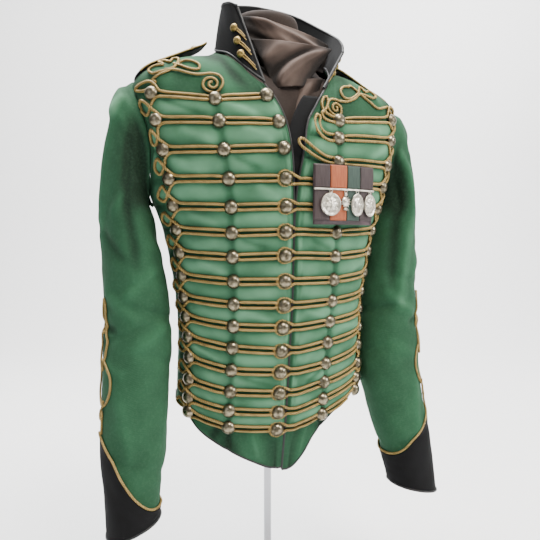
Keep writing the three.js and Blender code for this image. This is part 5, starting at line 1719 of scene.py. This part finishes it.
@dataclass
class Medals:
    """Backing, four ribbons with a silver bar at their foot, and a medal that swings from each."""

    shop: Workshop
    from_x: float = 24
    to_x: float = 122
    top: float = 690
    fold: float = 657
    foot: float = 606
    clear: float = 9.1
    thick: float = 2.4
    edges: tuple = (24, 48, 75, 97, 122)
    sizes: tuple = ((49, 16, 16), (72.5, 8.6, 12), (92, 11.6, 16), (115, 12.6, 16))

    def sheet_points(self, xs: np.ndarray, zs: np.ndarray, out: float) -> tuple:
        """Grid that follows the chest across and stands straight, with its outward normals."""
        rows = []
        for z in zs:
            row = []
            for x in xs:
                p, n = body_at(float(x), (float(z) + self.top) / 2)
                q = p + n * out
                row.append((q[0], q[1], z))
            rows.append(row)
        grid = np.array(rows)
        du, dv = np.gradient(grid, axis=1), np.gradient(grid, axis=0)
        return grid, unit(np.cross(du, dv)) * (1 if zs[-1] > zs[0] else -1)

    def build(self) -> None:
        """Makes the bar and the medals."""
        finish = self.shop.finish
        xs = np.linspace(self.from_x, self.to_x, 41)
        grid, normal = self.sheet_points(xs, np.linspace(self.foot, self.top, 31), self.clear + self.thick)
        plate = shell("medal_backing", grid, normal, self.thick)
        dress(plate, finish.backing, "ribbon", "medal_bar")
        colours = (finish.maroon, finish.orange, finish.dark_green, finish.maroon)
        for m, material in enumerate(colours):
            span = [blend(self.edges[m], self.edges[m + 1], t) for t in (0.02, 0.98)]
            across = np.linspace(*span, 11)
            front, n = self.sheet_points(across, np.linspace(self.fold, self.top - 1, 17),
                                         self.clear + self.thick + 1.5)
            sag = 0.5 * np.sin(np.linspace(0, math.pi, 17))[:, None, None]
            strip = shell(f"ribbon_front_{m + 1}", front + n * sag, n, 1.0)
            dress(strip, material, "ribbon")
            low, n = self.sheet_points(across, np.linspace(self.foot + 6, self.fold - 1, 15),
                                       self.clear + self.thick + 0.7)
            tail = shell(f"ribbon_back_{m + 1}", low, n, 0.6)
            dress(tail, material, "ribbon")
        bar, n = self.sheet_points(xs, np.array([self.fold - 1.5, self.fold - 1]),
                                   self.clear + self.thick + 2)
        self.shop.binding("suspender_bar", [bar[0]], 1.5, "silver", self.shop.silver_tree)
        for m, (x, half, tall) in enumerate(self.sizes):
            self.medal(m, x, half, tall)

    def medal(self, m: int, x: float, half: float, tall: float) -> None:
        """One medal with generic relief, in the frame of its own hinge."""
        p, n = body_at(x, (self.fold + self.top) / 2)
        out = unit(np.array([n[0], n[1], 0.0]))
        along = np.cross([0, 0, 1.0], out)
        axis = p + n * (self.clear + self.thick + 1.9)
        axis[2] = self.fold - 3
        basis = np.array([along, [0, 0, 1.0], out])
        parts = [self.star(half, tall) if m == 1 else self.disc(half, tall, m)]
        centre = np.array([0, -3.6 - tall, 0.0])
        moved = [(q + centre, f) for q, f in parts[0]]
        moved.append(self.hanger())
        points, faces = join_parts([placed(part, basis, axis) for part in moved])
        name = f"medal_{m + 1}"
        obj = make_mesh(f"medal_relief_{m + 1}", points, faces, body=name)
        dress(obj, self.shop.finish.silver, "silver", name)

    @staticmethod
    def hanger() -> tuple:
        """Ring and shank between the pin and the medal."""
        ring, faces = [], []
        for i in range(20):
            a = 2 * math.pi * i / 20
            for j in range(8):
                b = 2 * math.pi * j / 8
                r = 2.2 + 0.6 * math.cos(b)
                ring.append((r * math.sin(a), -1.6 + r * math.cos(a), 0.6 * math.sin(b)))
        for i in range(20):
            for j in range(8):
                k, q = (i + 1) % 20, (j + 1) % 8
                faces.append([i * 8 + j, k * 8 + j, k * 8 + q, i * 8 + q])
        return np.array(ring), faces

    @staticmethod
    def disc(half: float, tall: float, kind: int) -> list:
        """Oval disc with a rim, a ring of beads and a raised rosette or boss."""
        profile = [(0, -1.1), (0.97, -1.1), (1.0, -0.7), (1.0, 0.9), (0.96, 1.3), (0.9, 1.2),
                   (0.86, 0.7), (0.5, 0.75), (0.46, 1.25), (0.3, 1.5), (0.12, 1.7), (0, 1.75)]
        p, f = lathe(profile, 48)
        petals = 8 if kind != 2 else 5
        angle = np.arctan2(p[:, 1], p[:, 0])
        r = np.hypot(p[:, 0], p[:, 1])
        inside = (r < 0.52) & (p[:, 2] > 0)
        p[inside, 2] += 0.35 * np.cos(angle[inside] * petals)
        parts = [(p * np.array([half, tall, 1.0]), f)]
        bead, bf = lathe([(0, 0), (0.8, 0.1), (0.8, 0.5), (0.4, 0.9), (0, 1.0)], 8)
        for k in range(22):
            a = 2 * math.pi * k / 22
            spot = np.array([0.7 * half * math.cos(a), 0.7 * tall * math.sin(a), 0.6])
            parts.append((bead + spot, bf))
        return parts

    @staticmethod
    def star(half: float, tall: float) -> list:
        """Rayed star with a domed middle, a bud above and a small foot below."""
        count, points, faces = 24, [], []
        for z in (-1.0, 0.9):
            for k in range(count):
                r = half if k % 2 == 0 else half * 0.66
                a = 2 * math.pi * k / count
                points.append((r * math.cos(a), r * math.sin(a), z))
        points += [(0, 0, -1.0), (0, 0, 1.9)]
        for k in range(count):
            j = (k + 1) % count
            faces += [[k, j, count + j, count + k], [2 * count, j, k], [2 * count + 1, count + k, count + j]]
        boss = lathe([(0, 0.6), (half * 0.42, 0.6), (half * 0.4, 1.9), (half * 0.2, 2.5), (0, 2.7)], 24)
        bud = lathe([(0, -1.0), (2.6, -1.0), (2.8, 0.6), (1.2, 1.6), (0, 1.8)], 16)
        foot = np.array([(-2.6, -half - 0.2, -0.9), (2.6, -half - 0.2, -0.9), (4.4, -tall, -0.9),
                         (-4.4, -tall, -0.9), (-2.6, -half - 0.2, 1), (2.6, -half - 0.2, 1),
                         (4.4, -tall, 1), (-4.4, -tall, 1)])
        sides = [[0, 1, 2, 3], [7, 6, 5, 4], [4, 5, 1, 0], [5, 6, 2, 1], [6, 7, 3, 2], [7, 4, 0, 3]]
        return [(np.array(points), faces), boss, (bud[0] + np.array([0, half + 1.6, 0]), bud[1]),
                (foot, sides)]


# The form, its cover and the stand


@dataclass
class DressForm:
    """Limbless form under a brown jersey cover that is folded over itself at the neck."""

    shop: Workshop
    clear: float = 9.4

    def build(self) -> None:
        """Makes the form and the folded cover."""
        self.form()
        self.cover()

    def form(self) -> None:
        """Body's shape moved in under the cloth, closed below and at the neck."""
        heights = np.concatenate([[372, 373], np.linspace(380, 780, 30), np.linspace(792, 857, 14)])
        angle = np.arange(72) * 5.0
        rings = []
        for z in heights:
            p = body_point(angle, np.full(72, z))
            rings.append(p - body_normal(angle, z) * (WALL + self.clear))
        neck = Table([(868, 66, 44, 14), (885, 58, 46, 12), (905, 54, 48, 12), (925, 50, 46, 12),
                      (931, 42, 38, 12)])
        for z in np.linspace(870, 931, 14):
            a = np.radians(angle)
            w, d, y = (float(neck(z, k)) for k in (1, 2, 3))
            rings.append(np.stack([w * np.sin(a), y - d * np.cos(a), np.full(72, z)], -1))
        grid = np.array(rings)
        n, m = grid.shape[:2]
        points = np.vstack([grid.reshape(-1, 3), grid[0].mean(0)[None], grid[-1].mean(0)[None]])
        faces = [[i * m + j, i * m + (j + 1) % m, (i + 1) * m + (j + 1) % m, (i + 1) * m + j]
                 for i in range(n - 1) for j in range(m)]
        faces += [[n * m, (j + 1) % m, j] for j in range(m)]
        faces += [[n * m + 1, (n - 1) * m + j, (n - 1) * m + (j + 1) % m] for j in range(m)]
        if signed_volume(points, faces) < 0:
            faces = [f[::-1] for f in faces]
        uv = [(points[q][0] * MM, points[q][2] * MM) for f in faces for q in f]
        obj = make_mesh("form_body", points, faces, np.array(uv))
        dress(obj, self.shop.finish.jersey, "brown_cover", "dress_form")

    def layer(self, name: str, corners: list, bow: float, folds: list, rows: int = 44,
              columns: int = 44) -> None:
        """One fold of the cover, a bowed four-sided sheet with soft pleats.

        Args:
            name: the piece's name.
            corners: lower left, lower right, upper right and upper left, in mm.
            bow: how far the middle stands out to the front.
            folds: (u0, v0, u1, v1, height, width) of its pleats.
            rows: points up the sheet.
            columns: points across it.
        """
        a, b, c, d = (np.array(q, float) for q in corners)
        u, v = np.meshgrid(np.linspace(0, 1, columns), np.linspace(0, 1, rows))
        low, high = blend(a, b, u[..., None]), blend(d, c, u[..., None])
        grid = blend(low, high, v[..., None])
        out = bow * np.sin(np.pi * u) ** 0.7
        for u0, v0, u1, v1, high_fold, wide in folds:
            out = out + 1.6 * high_fold * ridge(u * 100, v * 100, (u0, v0, u1, v1), wide)
        out = out + 0.8 * ripple(u * 90, v * 90, 22.0)
        grid = grid + np.array([-0.25, -1.0, 0.1]) * out[..., None]
        du, dv = np.gradient(grid, axis=1), np.gradient(grid, axis=0)
        normal = unit(np.cross(du, dv))
        # The pleats' heights paint shade into the jersey's hollows and a highlight onto its crests
        obj = shell(name, grid, normal, 1.8, relief=out - bow * 0.6)
        dress(obj, self.shop.finish.jersey, "brown_cover")
        wide = float(np.linalg.norm(np.diff(grid, axis=1), axis=2).sum(1).max()) * MM

    def cover(self) -> None:
        """Three folds: a broad one across the neck, a flap that falls in front, and the end below."""
        self.layer("cover_fold_back", [(-44, -52, 852), (92, -30, 838), (96, -14, 892), (-47, -26, 917)],
                   16, [(8, 96, 98, 62, 4, 9), (0, 60, 80, 10, -4, 8), (20, 100, 60, 30, 3, 9)])
        self.layer("cover_fold_flap", [(-14, -78, 800), (30, -82, 806), (90, -44, 876), (-42, -52, 876)],
                   9, [(95, 92, 20, 10, 5, 8), (75, 92, 5, 20, -4, 7), (40, 96, 0, 50, 3, 8)])
        self.layer("cover_end", [(4, -96, 742), (20, -97, 736), (64, -72, 822), (-16, -76, 812)],
                   5, [(80, 95, 30, 5, 3, 9), (50, 95, 10, 20, -3, 8)])


@dataclass
class Stand:
    """Polished rod and round base, kept as packed and given their finish."""

    shop: Workshop

    def build(self) -> None:
        """Dresses the two nodes."""
        for name in ("rod", "base"):
            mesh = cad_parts[name].data
            mesh.materials.clear()
            mesh.materials.append(self.shop.finish.chrome)


@dataclass
class Studio:
    """Pale sweep, soft lights and the camera, whose place in metres was fitted to the photograph."""

    shop: Workshop
    lens: float = 40.0
    sensor: float = 36.0
    place: tuple = (-0.28976, -0.90474, 0.585)
    ahead: tuple = (0.308621, 0.949839, -0.050593)
    right: tuple = (0.951057, -0.309017, 0.0)
    up: tuple = (0.015634, 0.048117, 0.998720)

    def build(self) -> None:
        """Sets the stage."""
        self.sweep()
        world = bpy.data.worlds.new("studio")
        bpy.context.scene.world = world
        world.use_nodes = True
        back = world.node_tree.nodes["Background"]
        back.inputs["Color"].default_value = shade("#eef0f2")
        back.inputs["Strength"].default_value = 0.4
        chest = (0.0, 0.0, 0.65)
        for name, place, aim, size, power, colour in (
                ("key", (0.35, -1.3, 2.5), chest, 0.8, 70.0, "#fff6ea"),
                ("fill", (-2.2, -1.6, 1.3), chest, 1.6, 9.0, "#eaf1ff"),
                ("top", (-0.1, 0.25, 2.3), (0.0, 0.0, 0.8), 0.8, 78.0, "#ffffff"),
                ("side", (1.9, -1.2, 1.5), chest, 1.0, 44.0, "#ffffff"),
                ("sweep_left", (-0.9, 1.2, 2.6), (0.2, 3.2, 0.9), 1.6, 116.0, "#ffffff"),
                ("sweep_right", (1.8, 1.0, 2.6), (1.6, 3.0, 0.9), 1.6, 116.0, "#ffffff")):
            self.light(name, place, aim, size, power, colour)
        data = bpy.data.cameras.new("camera")
        data.lens, data.sensor_width = self.lens, self.sensor
        camera = bpy.data.objects.new("camera", data)
        axes = Matrix((Vector(self.right), Vector(self.up), -Vector(self.ahead))).transposed().to_4x4()
        camera.matrix_world = Matrix.Translation(self.place) @ axes
        bpy.context.scene.collection.objects.link(camera)
        bpy.context.scene.camera = camera

    def sweep(self) -> None:
        """Floor that curves up into a backdrop."""
        profile = [(-3.0, -0.0005), (2.0, -0.0005)]
        for k in range(1, 13):
            a = math.radians(90 * k / 12)
            profile.append((2.0 + 1.2 * math.sin(a), 1.2 - 1.2 * math.cos(a)))
        profile.append((3.2, 4.5))
        turn = math.radians(-18)
        points = []
        for y, z in profile:
            for x in (-5.0, 5.0):
                points.append((x * math.cos(turn) - y * math.sin(turn),
                               x * math.sin(turn) + y * math.cos(turn), z))
        faces = [[2 * k, 2 * k + 1, 2 * k + 3, 2 * k + 2] for k in range(len(profile) - 1)]
        obj = bare_object("floor", np.array(points) / MM, faces=faces)
        obj.data.materials.append(self.shop.finish.floor)

    @staticmethod
    def light(name: str, place: tuple, aim: tuple, size: float, power: float, colour: str) -> None:
        """Adds a soft square light that looks at a place."""
        data = bpy.data.lights.new(name, "AREA")
        data.shape, data.size, data.energy = "SQUARE", size, power
        data.color = shade(colour)[:3]
        obj = bpy.data.objects.new(name, data)
        obj.location = place
        obj.rotation_euler = (Vector(aim) - Vector(place)).to_track_quat("-Z", "Y").to_euler()
        bpy.context.scene.collection.objects.link(obj)


def main() -> None:
    """Builds the parts in order and reports them."""
    logging.basicConfig(level=logging.INFO, format="%(message)s")
    shop = Workshop()
    Studio(shop).build()
    Body(shop).build()
    CollarPiece(shop).build()
    for side in Side:
        SleevePiece(shop, side).build()
        Frogging(shop, side).build()
        ChestKnot(shop, side).build()
        Strap(shop, side).build()
    Medals(shop).build()
    DressForm(shop).build()
    Stand(shop).build()
    shop.clear_away()


if __name__ == "__main__":
    main()
